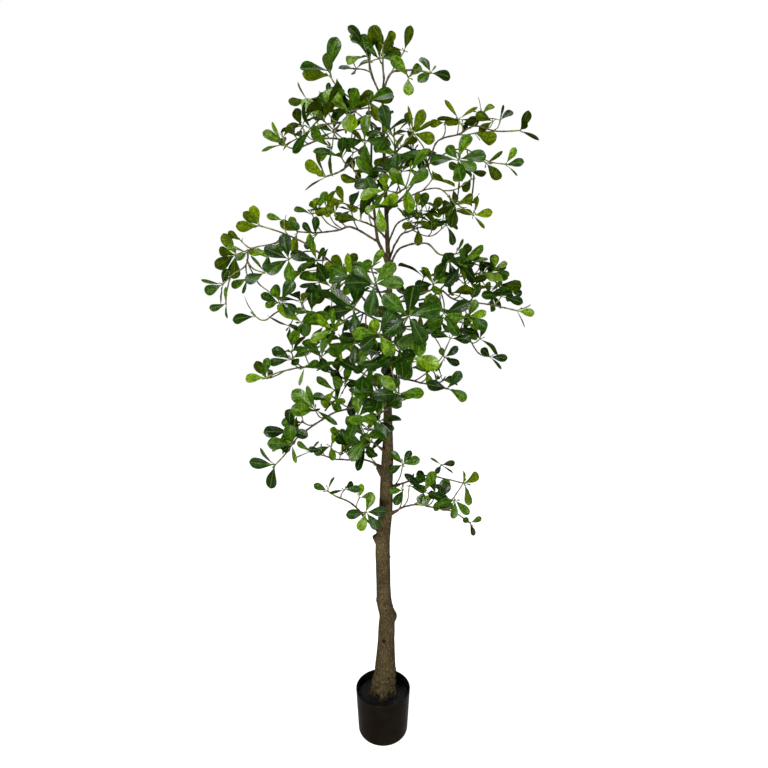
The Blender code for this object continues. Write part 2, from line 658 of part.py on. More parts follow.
def aside(draw):
    """A small random step, as a wiry twig's knuckles make."""
    return Vector((draw.uniform(-1, 1), draw.uniform(-1, 1), draw.uniform(-1, 1))) * SHOOT_KINK


def kinked(points, draw):
    """Nodes along the smooth curve, all but the ends moved a little aside."""
    nodes = [points[0].copy()]
    for index in range(len(points) - 1):
        count = max(1, round((points[index + 1] - points[index]).length / LIMB_SPAN))
        for step in range(1, count + 1):
            node = spline_point(points, index, step / count)
            if index < len(points) - 2 or step < count:
                node += aside(draw)
            nodes.append(node)
    return nodes


def limb_nodes(limb, draw):
    """A limb's nodes, from inside its stem to its last whorl."""
    line = LEADER_LINE if limb.stem == LEADER else FORK_LINE
    points = [point_on(line, limb.height * CM)]
    points += [Vector(point) * CM for point in limb.route]
    return kinked(points, draw)


def twig_nodes(paths, points, draw):
    """A side twig's nodes: it leaves the nearest path of its limb a little before its tip."""
    target = Vector(points[0]) * CM
    best = None
    for path in paths:
        travelled = 0.0
        for low, high in zip(path, path[1:]):
            span = high - low
            share = min(1.0, max(0.0, (target - low).dot(span) / span.length_squared))
            distance = (low + span * share - target).length
            if best is None or distance < best[0]:
                best = (distance, travelled + span.length * share, path)
            travelled += span.length
    distance, place, path = best
    place = max(TWIG_FIRST_START, place - TWIG_FORWARD * distance)
    for low, high in zip(path, path[1:]):
        span = high - low
        if place <= span.length or high is path[-1]:
            share = min(TWIG_LAST_SHARE, place / span.length)
            start = low + span * share
            along = span.normalized()
            break
        place -= span.length
    if len(points) > 1:
        return kinked([start] + [Vector(point) * CM for point in points], draw)
    reach = (target - start).length
    to_tip = (target - start).normalized()
    bend = start + (along * TWIG_ALONG_LIMB + to_tip * TWIG_TO_TIP) * reach
    bend.z -= TWIG_SAG * reach
    spans = max(2, round(reach / TWIG_SPAN))
    nodes = []
    for step in range(spans + 1):
        share = step / spans
        node = start * (1 - share) ** 2 + bend * (2 * share * (1 - share)) + target * share ** 2
        if 0 < step < spans:
            node += aside(draw)
        nodes.append(node)
    return nodes


def leaf_frames(hub, axis, turn, leaf, sides, stations):
    """Centre, sideways and upward direction of a leaf at each station."""
    first, second = frame_round(axis, turn)
    outward = first * math.cos(leaf.heading) + second * math.sin(leaf.heading)
    across = axis.cross(outward)
    centre = hub + outward * (HUB_RADIUS * math.cos(math.pi / sides))
    frames = []
    done = 0.0
    for station in stations:
        angle = leaf.lean + leaf.bend * (station + done) / 2.0
        ahead = axis * math.cos(angle) + outward * math.sin(angle)
        centre = centre + ahead * (leaf.length * (station - done))
        angle = leaf.lean + leaf.bend * station
        ahead = axis * math.cos(angle) + outward * math.sin(angle)
        sideways = Quaternion(ahead, leaf.roll * station) @ across
        frames.append((centre, sideways, ahead.cross(sideways)))
        done = station
    return frames


def section_at(centre, half, thick):
    """The four corners of a blade's section: low left, low right, high right, high left."""
    return [centre - half - thick, centre + half - thick, centre + half + thick, centre - half + thick]


def loft(section, start):
    """The triangles from one section of a blade to the next, whose first corner has this number."""
    left_low, right_low, right_high, left_high = section
    return [
        (left_low, right_low, start + 1), (left_low, start + 1, start),
        (right_high, left_high, start + 2), (left_high, start + 3, start + 2),
        (right_low, right_high, start + 2), (right_low, start + 2, start + 1),
        (left_high, left_low, start), (left_high, start, start + 3),
    ]


def blade_solid(hub, axis, turn, leaf, sides, spare, begin):
    """A leaf's own closed solid a little larger than life, for keeping leaves clear of others."""
    outline = BLADE_STATIONS + (BLADE_END,)
    foot, *frames = leaf_frames(hub, axis, turn, leaf, sides, [0.0] + [place for place, share in outline])
    sections = []
    for (centre, sideways, upward), (place, share) in zip(frames, outline):
        half = sideways * (leaf.width * share / 2.0 + spare)
        sections.append((centre, half, upward * (LEAF_THICKNESS / 2.0 + spare)))
    start = (foot[0], foot[1] * (HUB_RADIUS * math.sin(math.pi / sides)), axis * (HUB_HEIGHT / 2.0))
    neck = [one.lerp(other, begin) for one, other in zip(start, sections[0])]
    vertices = []
    for section in [neck] + sections:
        vertices += section_at(*section)
    faces = [(0, 3, 2, 1)]
    for low in range(0, len(vertices) - 4, 4):
        faces += loft([low, low + 1, low + 2, low + 3], low + 4)
    end = len(vertices) - 4
    faces.append((end, end + 1, end + 2, end + 3))
    return vertices, faces


class Clearing:
    """What has already grown, for keeping new shoots and leaves clear of it."""

    def __init__(self):
        self.taken = []

    def add(self, vertices, faces):
        self.taken.append(self.measure(vertices, faces))

    def free(self, vertices, faces):
        tree, low, high = self.measure(vertices, faces)
        for other, other_low, other_high in self.taken:
            apart = any(low[i] > other_high[i] or high[i] < other_low[i] for i in range(3))
            if not apart and tree.overlap(other):
                return False
        return True

    def measure(self, vertices, faces):
        low = [min(v[i] for v in vertices) for i in range(3)]
        high = [max(v[i] for v in vertices) for i in range(3)]
        return BVHTree.FromPolygons(vertices, faces), low, high


def grow_whorl(nodes, count, sides, draw, clearing):
    """The leaves at a shoot's end, each placed where it crosses nothing."""
    arrival = (nodes[-1] - nodes[-2]).normalized()
    outward = Vector((nodes[-1].x, nodes[-1].y, 0.0)).normalized()
    axis = arrival + outward * draw.uniform(*OUTWARD_SHARE) + UP * draw.uniform(*UPWARD_SHARE)
    axis = (axis + FRONT * draw.uniform(*FRONT_SHARE)).normalized()
    turn = draw.uniform(0.0, math.tau)
    hub = nodes[-1] + axis * (HUB_HEIGHT / 2.0)
    scale = draw.uniform(*WHORL_SCALE)
    whorl = (hub, axis, turn, sides)
    own = Clearing()
    leaves = []
    for index in range(count):
        side = round(index * sides / count) % sides
        even = math.tau * (index + 0.5) / count
        upright = count > 4 and index % 2 == 1
        for attempt in range(TRIES):
            lean = draw.uniform(*(UPRIGHT_LEAN if upright else LEAN))
            length = LEAF_LENGTH * scale * draw.uniform(*LEAF_SCALE) * (1.0 - SHRINK * attempt)
            if upright:
                length *= UPRIGHT_SCALE
            leaf = Leaf(
                side=side,
                heading=even + math.radians(draw.uniform(-UNEVEN, UNEVEN)),
                lean=math.radians(lean),
                bend=math.radians(draw.uniform(*BEND)),
                roll=math.radians(draw.uniform(*ROLL)),
                length=length,
                width=length * LEAF_WIDTH_RATIO * draw.uniform(*WIDTH_SCALE),
            )
            if has_room(whorl, leaf, clearing, own):
                leaves.append(leaf)
                own.add(*blade_solid(*whorl[:3], leaf, sides, 0.0, NECK_SHARE))
                break
    keep_clear(whorl, leaves, clearing)
    return axis, turn, leaves


def leafy_solid(shoot):
    """One shoot with its leaves as one closed solid, the leaves drawn out of its end band."""
    nodes = shoot.nodes + [shoot.nodes[-1] + shoot.axis * HUB_HEIGHT]
    radii = shoot.radii[:-1] + [HUB_RADIUS, HUB_RADIUS]
    sides = shoot.sides
    first, second = frame_round(shoot.axis, shoot.turn)
    tangents = tangents_of(shoot.nodes, shoot.axis) + [shoot.axis]
    frames = tube_rings(nodes, tangents, first)
    vertices = []
    for node, radius, (one, two) in zip(nodes, radii, frames):
        for step in range(sides):
            angle = math.tau * step / sides
            vertices.append(node + (one * math.cos(angle) + two * math.sin(angle)) * radius)
    faces = [tuple(range(sides - 1, -1, -1))]
    taken = {leaf.side for leaf in shoot.leaves}
    last_band = len(nodes) - 2
    for band in range(len(nodes) - 1):
        low = band * sides
        for step in range(sides):
            after = (step + 1) % sides
            if band == last_band and step in taken:
                continue
            faces.append((low + step, low + after, low + sides + after, low + sides + step))
    faces.append(tuple(range((len(nodes) - 1) * sides, len(nodes) * sides)))
    hub = shoot.nodes[-1] + shoot.axis * (HUB_HEIGHT / 2.0)
    for leaf in shoot.leaves:
        low = last_band * sides
        after = (leaf.side + 1) % sides
        section = [low + leaf.side, low + after, low + sides + after, low + sides + leaf.side]
        add_blade(vertices, faces, section, hub, shoot, leaf)
    return vertices, faces


def add_blade(vertices, faces, section, hub, shoot, leaf):
    """Draws one blade out of a four-cornered root, alike above and below, to a point."""
    stations = [place for place, share in BLADE_STATIONS] + [1.0]
    frames = leaf_frames(hub, shoot.axis, shoot.turn, leaf, shoot.sides, stations)
    for (centre, sideways, upward), (place, share) in zip(frames, BLADE_STATIONS):
        start = len(vertices)
        half = sideways * (leaf.width * share / 2.0)
        vertices += section_at(centre, half, upward * (LEAF_THICKNESS / 2.0))
        faces += loft(section, start)
        section = [start, start + 1, start + 2, start + 3]
    tip = len(vertices)
    vertices.append(frames[-1][0])
    for step in range(4):
        faces.append((section[step], section[(step + 1) % 4], tip))


def clock_direction(hour, tilt):
    """The direction of an hour on a clock that faces the front, tilted towards the front."""
    angle = math.tau * hour / 12.0
    flat = Vector((math.sin(angle), 0.0, math.cos(angle)))
    return flat * math.cos(tilt) + FRONT * math.sin(tilt)


def heading_round(direction, axis, turn):
    """The angle of a direction round a hub's axis."""
    first, second = frame_round(axis, turn)
    return math.atan2(direction.dot(second), direction.dot(first)) % math.tau


def seats_round(headings):
    """The leaves in order round the hub from the widest gap on, each with its side of the hub."""
    order = sorted(range(len(headings)), key=lambda index: headings[index])
    gaps = []
    for place, index in enumerate(order):
        gaps.append((headings[index] - headings[order[place - 1]]) % math.tau)
    widest = gaps.index(max(gaps))
    order = order[widest:] + order[:widest]
    seats = []
    side = -1
    for place, index in enumerate(order):
        offset = (headings[index] - headings[order[0]]) % math.tau
        last = CLOCK_SIDES - len(order) + place
        side = min(max(side + 1, round(offset * CLOCK_SIDES / math.tau)), last)
        seats.append((index, side))
    return seats


def roll_to_front(ahead, axis):
    """The roll that turns a leaf's nearer face towards the front, as far as its foot can twist."""
    outward = (ahead - axis * ahead.dot(axis)).normalized()
    face = ahead.cross(axis.cross(outward))
    wanted = FRONT - ahead * FRONT.dot(ahead)
    if face.dot(wanted) < 0.0:
        wanted = -wanted
    angle = math.atan2(ahead.dot(face.cross(wanted)), face.dot(wanted))
    return max(-MOST_TURN, min(MOST_TURN, angle * FACING))


def crosses_itself(shoot):
    """True where two faces of a shoot's closed solid cross that share no corner."""
    vertices, faces = leafy_solid(shoot)
    tree = BVHTree.FromPolygons(vertices, faces)
    return any(not set(faces[one]) & set(faces[two]) for one, two in tree.overlap(tree))


def has_room(whorl, leaf, clearing, own):
    """True where a leaf clears all that grew before and, past its neck, its own whorl's leaves."""
    whole = blade_solid(*whorl[:3], leaf, whorl[3], LEAF_CLEAR, FOOT_SHARE)
    blade = blade_solid(*whorl[:3], leaf, whorl[3], LEAF_CLEAR, NECK_SHARE)
    return clearing.free(*whole) and own.free(*blade)


def keep_clear(whorl, leaves, clearing):
    """Notes a finished whorl's leaves, for the whorls that grow later."""
    for leaf in leaves:
        clearing.add(*blade_solid(*whorl[:3], leaf, whorl[3], 0.0, FOOT_SHARE))


def grow_clock_whorl(nodes, radii, clock, draw, clearing):
    """The leaves at a shoot's end, each pointing to its hour where it crosses nothing."""
    size, *hours = clock
    arrival = (nodes[-1] - nodes[-2]).normalized()
    backward = nodes[-1].z > EYE_HEIGHT and draw.random() < BACKWARD_CHANCE
    axis = arrival + UP * draw.uniform(*UPWARD_SHARE)
    axis = axis + FRONT * draw.uniform(*(CLOCK_BACKWARD if backward else CLOCK_FRONT))
    axis = axis.normalized()
    hub = nodes[-1] + axis * (HUB_HEIGHT / 2.0)
    headings = [heading_round(clock_direction(abs(hour), 0.0), axis, 0.0) for hour in hours]
    seats = seats_round(headings)
    turn = headings[seats[0][0]] - math.pi / CLOCK_SIDES
    whorl = (hub, axis, turn, CLOCK_SIDES)
    own = Clearing()
    leaves = []
    for index, side in seats:
        for attempt in range(CLOCK_TRIES):
            patience = 1.0 - attempt / CLOCK_TRIES
            looser = 1.0 + attempt / LOOSER_AFTER
            hour = abs(hours[index]) + draw.uniform(-CLOCK_UNEVEN, CLOCK_UNEVEN) * looser
            ahead = clock_direction(hour, math.radians(draw.uniform(*CLOCK_TILT) * looser))
            bend = math.radians(draw.uniform(*BEND))
            shrink = 1.0 - SHRINK * min(attempt, CLOCK_SHRINKS)
            length = LEAF_LENGTH * size / 100.0 * draw.uniform(*CLOCK_SCALE) * shrink
            width = length * CLOCK_WIDTH_RATIO * draw.uniform(*WIDTH_SCALE)
            roll = math.radians(draw.uniform(*ROLL))
            if hours[index] > 0:
                roll = roll / 2.0 + roll_to_front(ahead, axis) * patience
            leaf = Leaf(
                side=side,
                heading=heading_round(ahead, axis, turn),
                lean=ahead.angle(axis) - bend / 2.0,
                bend=bend,
                roll=roll,
                length=length,
                width=width * SLIM if hours[index] < 0 else width,
            )
            low, high = CLOCK_LEAN
            if not low <= math.degrees(ahead.angle(axis)) <= high:
                continue
            if math.degrees(ahead.angle(-arrival)) < CLOCK_BACK:
                continue
            shoot = Shoot(nodes, radii, CLOCK_SIDES, axis, turn, leaves + [leaf])
            if has_room(whorl, leaf, clearing, own) and not crosses_itself(shoot):
                leaves.append(leaf)
                own.add(*blade_solid(*whorl[:3], leaf, CLOCK_SIDES, 0.0, NECK_SHARE))
                break
    keep_clear(whorl, leaves, clearing)
    return axis, turn, leaves


def tapering(nodes, root, tip):
    """Radii that run evenly from root to tip."""
    count = len(nodes) - 1
    return [root + (tip - root) * index / count for index in range(count + 1)]


def grow_tree():
    """Every limb's shoots: all the woody routes first, then the leaves at their ends."""
    clearing = Clearing()
    for part in trunk_parts(0.0):
        clearing.add(*part)
    routes = []
    for limb in LIMBS:
        draw = random.Random(limb.name)
        nodes = limb_nodes(limb, draw)
        paths = [nodes]
        woody = [(nodes, tapering(nodes, LIMB_ROOT_RADIUS, LIMB_TIP_RADIUS), LIMB_SIDES, END_LEAVES)]
        for index, (count, points) in enumerate(limb.twigs):
            draw = random.Random(limb.name + " twig " + str(index))
            twig = twig_nodes(paths, points, draw)
            if len(points) > 1:
                paths.append(twig)
            radii = tapering(twig, TWIG_ROOT_RADIUS, TWIG_TIP_RADIUS)
            woody.append((twig, radii, count, count))
        routes.append((limb, woody))
    for limb, woody in routes:
        for nodes, radii, sides, count in woody:
            clearing.add(*build_tube(nodes, radii, LIMB_SIDES))
    tree = []
    for limb, woody in routes:
        shoots = []
        for index, (nodes, radii, sides, count) in enumerate(woody):
            draw = random.Random(limb.name + " whorl " + str(index))
            clock = CLOCKS.get(limb.name, {}).get(index)
            if clock:
                sides = CLOCK_SIDES
                axis, turn, leaves = grow_clock_whorl(nodes, radii, clock, draw, clearing)
            else:
                axis, turn, leaves = grow_whorl(nodes, count, sides, draw, clearing)
            shoots.append(Shoot(nodes, radii, sides, axis, turn, leaves))
        tree.append((limb, shoots))
    return tree


def build_limb(limb, shoots, material, cutter):
    """A limb with its twigs and leaves as one solid, cut clear of the trunk it grows from."""
    parts = [mesh_from(limb.name, *leafy_solid(shoot)) for shoot in shoots]
    spray = join_all("spray_" + limb.name, parts, material)
    cut = spray.modifiers.new("clear of the trunk", "BOOLEAN")
    cut.operation = "DIFFERENCE"
    cut.object = cutter
    apply_modifiers(spray)
    return spray


def main():
    for shape in list(bpy.data.objects):
        bpy.data.objects.remove(shape)
    build_pot(make_material("pot_plastic", (0.012, 0.010, 0.009), 0.38))
    build_pot_weight(make_material("cement", (0.30, 0.29, 0.27), 0.9))
    build_gravel(make_material("gravel", (0.025, 0.024, 0.024), 0.85))
    build_trunk("trunk", 0.0, make_material("bark", (0.13, 0.095, 0.055), 0.85))
    cutter = build_trunk("trunk_clearance", GAP, make_material("guide", (0.5, 0.5, 0.5), 0.5))
    cutter.hide_render = True
    cutter.display_type = "WIRE"
    for limb, shoots in grow_tree():
        green = make_material("leaf_" + limb.name, (0.035, 0.10, 0.012), 0.45)
        build_limb(limb, shoots, green, cutter)
    bpy.data.objects.remove(cutter)


main()
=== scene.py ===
# %% [markdown]
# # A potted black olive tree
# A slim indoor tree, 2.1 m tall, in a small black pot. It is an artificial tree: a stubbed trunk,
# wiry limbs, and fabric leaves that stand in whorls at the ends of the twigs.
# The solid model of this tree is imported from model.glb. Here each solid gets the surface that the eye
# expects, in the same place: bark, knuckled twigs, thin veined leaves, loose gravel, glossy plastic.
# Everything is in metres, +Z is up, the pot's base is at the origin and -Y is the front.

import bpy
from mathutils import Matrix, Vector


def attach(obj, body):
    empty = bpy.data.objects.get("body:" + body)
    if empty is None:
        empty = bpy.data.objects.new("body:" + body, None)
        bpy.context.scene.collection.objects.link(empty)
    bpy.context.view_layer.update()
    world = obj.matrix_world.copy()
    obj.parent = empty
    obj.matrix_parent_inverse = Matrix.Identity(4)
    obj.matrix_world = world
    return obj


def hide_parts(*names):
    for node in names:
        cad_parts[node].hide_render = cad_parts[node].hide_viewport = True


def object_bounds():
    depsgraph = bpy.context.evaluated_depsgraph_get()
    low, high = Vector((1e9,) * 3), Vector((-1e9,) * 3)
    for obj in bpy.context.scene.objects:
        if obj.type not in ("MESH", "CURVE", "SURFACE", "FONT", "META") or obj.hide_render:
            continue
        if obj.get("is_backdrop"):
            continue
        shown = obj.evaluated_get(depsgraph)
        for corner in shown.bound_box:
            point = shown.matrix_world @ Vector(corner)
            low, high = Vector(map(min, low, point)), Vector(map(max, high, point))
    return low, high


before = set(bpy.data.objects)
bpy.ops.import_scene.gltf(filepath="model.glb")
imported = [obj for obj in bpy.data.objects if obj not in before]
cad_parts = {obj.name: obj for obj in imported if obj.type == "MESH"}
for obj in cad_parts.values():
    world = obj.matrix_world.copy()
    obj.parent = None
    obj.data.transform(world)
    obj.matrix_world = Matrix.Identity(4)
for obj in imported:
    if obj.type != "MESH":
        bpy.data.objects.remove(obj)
cad_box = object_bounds()
print("solids:", len(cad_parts))
print("box:", [[round(value, 3) for value in corner] for corner in cad_box])

# %% Tools
import math
import random
from collections import namedtuple

import bmesh
import bpy
import numpy as np
from mathutils import Quaternion, Vector, noise
from mathutils.bvhtree import BVHTree

# %% [markdown]
# ## Camera, floor and light
# The camera comes first, so that every later step can be looked at from the photograph's side.
# The tree was photographed from close by at about chest height: the pot is seen from above and the
# top leaves from below. That perspective fixes the camera's height, distance and lens together,
# and a longer lens from further off would show the pot as a flat band.

# %% Camera
camera = bpy.data.cameras.new("camera")
camera.lens = 22.55
camera.sensor_width = 36.0
view = bpy.data.objects.new("camera", camera)
view.location = (0.003, -1.45, 1.24)
view.rotation_euler = (math.radians(85.0), 0.0, 0.0)
bpy.context.scene.collection.objects.link(view)
bpy.context.scene.camera = view
print("camera height", view.location.z, "m, lens", camera.lens, "mm")

# %% [markdown]
# A studio shot on white has a bright backdrop, but the leaves stay dark and rich, because what they
# reflect is mostly a dim room with a few large soft lamps. An evenly white world would lay a pale
# veil over every glossy leaf. So the world is white only where the camera looks straight at it, and
# is a dim grey for light and reflections. The floor is one pale plane, far wider than the view, and
# it glows a little for the camera, so that it stays white far from the lamps.

# %% Studio
FLOOR_HALF = 12.0
FLOOR_GLOW = 0.97
LAMP_AIM = (0.0, 0.0, 1.2)


def pale_floor():
    """One large pale plane for the pot to stand on."""
    mesh = bpy.data.meshes.new("floor")
    corners = [(FLOOR_HALF * x, FLOOR_HALF * y, 0.0) for x, y in ((-1, -1), (1, -1), (1, 1), (-1, 1))]
    mesh.from_pydata(corners, [], [(0, 1, 2, 3)])
    floor = bpy.data.objects.new("floor", mesh)
    bpy.context.scene.collection.objects.link(floor)
    paint = bpy.data.materials.new("studio floor")
    paint.use_nodes = True
    shader = paint.node_tree.nodes["Principled BSDF"]
    shader.inputs["Base Color"].default_value = (0.34, 0.34, 0.34, 1.0)
    shader.inputs["Roughness"].default_value = 0.9
    shader.inputs["Specular IOR Level"].default_value = 0.1
    shader.inputs["Emission Color"].default_value = (1.0, 1.0, 1.0, 1.0)
    seen = paint.node_tree.nodes.new("ShaderNodeLightPath").outputs["Is Camera Ray"]
    glow = paint.node_tree.nodes.new("ShaderNodeMath")
    glow.operation = "MULTIPLY"
    glow.inputs[1].default_value = FLOOR_GLOW
    paint.node_tree.links.new(seen, glow.inputs[0])
    paint.node_tree.links.new(glow.outputs["Value"], shader.inputs["Emission Strength"])
    mesh.materials.append(paint)
    floor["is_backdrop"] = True
    return floor


def soft_lamp(name, place, size, power):
    """A square area lamp that points at the middle of the tree."""
    light = bpy.data.lights.new(name, "AREA")
    light.size = size
    light.energy = power
    lamp = bpy.data.objects.new(name, light)
    lamp.location = place
    lamp.rotation_euler = (Vector(LAMP_AIM) - Vector(place)).to_track_quat("-Z", "Y").to_euler()
    bpy.context.scene.collection.objects.link(lamp)
    return lamp


def studio_world(backdrop, room):
    """A world that the camera sees white and that lights the tree as a dimmer room."""
    world = bpy.data.worlds.new("white studio")
    bpy.context.scene.world = world
    world.use_nodes = True
    tree = world.node_tree
    mix = tree.nodes.new("ShaderNodeMixShader")
    tree.links.new(tree.nodes.new("ShaderNodeLightPath").outputs["Is Camera Ray"], mix.inputs["Fac"])
    plain = tree.nodes["Background"]
    for slot, light, strength in ((1, plain, room), (2, tree.nodes.new("ShaderNodeBackground"), backdrop)):
        light.inputs["Color"].default_value = (1.0, 1.0, 1.0, 1.0)
        light.inputs["Strength"].default_value = strength
        tree.links.new(light.outputs["Background"], mix.inputs[slot])
    tree.links.new(mix.outputs["Shader"], tree.nodes["World Output"].inputs["Surface"])


pale_floor()
soft_lamp("key", (-1.4, -2.6, 2.6), 0.9, 120.0)
soft_lamp("fill", (2.2, -2.1, 1.3), 0.9, 50.0)
soft_lamp("low front", (-0.4, -2.5, 0.35), 0.7, 80.0)
soft_lamp("overhead", (0.2, -0.3, 4.0), 1.2, 40.0)
soft_lamp("back", (0.9, 2.6, 2.5), 1.0, 60.0)
studio_world(1.0, 0.08)
bpy.context.scene.view_settings.view_transform = "Standard"
print("lamps:", [light.name for light in bpy.data.lights])

# %% [markdown]
# ## The tree's plan
# The numbers below are the ones the solid model was made from: where the stems run, where every
# limb leaves them, and where each twig ends in a whorl of leaves. Because the growing rules after
# them are the same too, each fine limb lands in exactly the place of its solid.
# A leafy crown could also be scattered by chance over a rough shape, but then no single limb would
# match the photograph. Here the twigs' ends were found in the photograph by eye, their depths were
# chosen by hand, and a separate program turned most of them into centimetres.

# %% Stems
GAP = 0.0003
CM = 0.01
POT_HEIGHT = 0.141
POT_RIM_RADIUS = 0.086
POT_BASE_RADIUS = 0.0775
POT_CORNER = 0.012
POT_WALL = 0.0025
GRAVEL_TOP = POT_HEIGHT - 0.025

# x, y, z and radius along the leader, the second stem, and the sawn stubs
LEADER_LINE = [
    (0.000, 0.000, GRAVEL_TOP + GAP, 0.0445),
    (0.000, 0.000, 0.135, 0.0415),
    (0.003, -0.001, 0.155, 0.0383),
    (0.007, 0.000, 0.185, 0.0338),
    (0.008, 0.002, 0.230, 0.0308),
    (0.010, 0.003, 0.300, 0.0263),
    (0.012, 0.002, 0.350, 0.0251),
    (0.014, 0.000, 0.380, 0.0249),
    (0.008, -0.002, 0.407, 0.0237),
    (0.003, -0.002, 0.435, 0.0229),
    (0.001, 0.000, 0.500, 0.0220),
    (-0.001, 0.003, 0.600, 0.0223),
    (0.002, 0.003, 0.650, 0.0216),
    (0.008, 0.000, 0.720, 0.0206),
    (0.011, -0.003, 0.815, 0.0195),
    (0.014, -0.002, 0.900, 0.0171),
    (0.015, 0.001, 0.980, 0.0143),
    (0.013, 0.004, 1.155, 0.0118),
    (0.019, 0.002, 1.330, 0.0088),
    (0.018, -0.002, 1.450, 0.0078),
    (0.013, -0.004, 1.530, 0.0067),
    (0.009, -0.001, 1.640, 0.0059),
    (0.003, 0.003, 1.800, 0.0049),
    (-0.001, 0.001, 1.940, 0.0037),
    (0.003, -0.001, 1.990, 0.0030),
]

FORK_LINE = [
    (0.016, -0.002, 1.455, 0.0052),
    (-0.002, -0.010, 1.508, 0.0050),
    (-0.016, -0.014, 1.540, 0.0047),
    (-0.025, -0.014, 1.615, 0.0042),
    (-0.032, -0.010, 1.690, 0.0038),
    (-0.034, -0.006, 1.770, 0.0036),
    (-0.031, -0.004, 1.850, 0.0028),
]

STUBS = [
    ((-0.001, 0.003, 0.600), (-0.026, -0.006, 0.642), 0.0125, 0.0085),
    ((0.010, -0.002, 0.815), (-0.016, 0.002, 0.858), 0.0105, 0.0070),
    ((0.010, -0.002, 0.775), (0.032, 0.006, 0.800), 0.0095, 0.0065),
]

print("leader", len(LEADER_LINE), "points, second stem", len(FORK_LINE), "points, stubs", len(STUBS))

# %% [markdown]
# ### Limbs and twigs
# A real crown is a few bare wires that fork into twigs, with leaves at the tips alone. So a limb is
# its name, the stem it grows from, the height where it starts, the points it runs through, and its
# side twigs. Whole centimetres are fine enough for a wiry limb. The extra side twigs are the small
# ones between the main ones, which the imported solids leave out.

# %% Limbs
LEADER = "leader"
FORK = "fork"

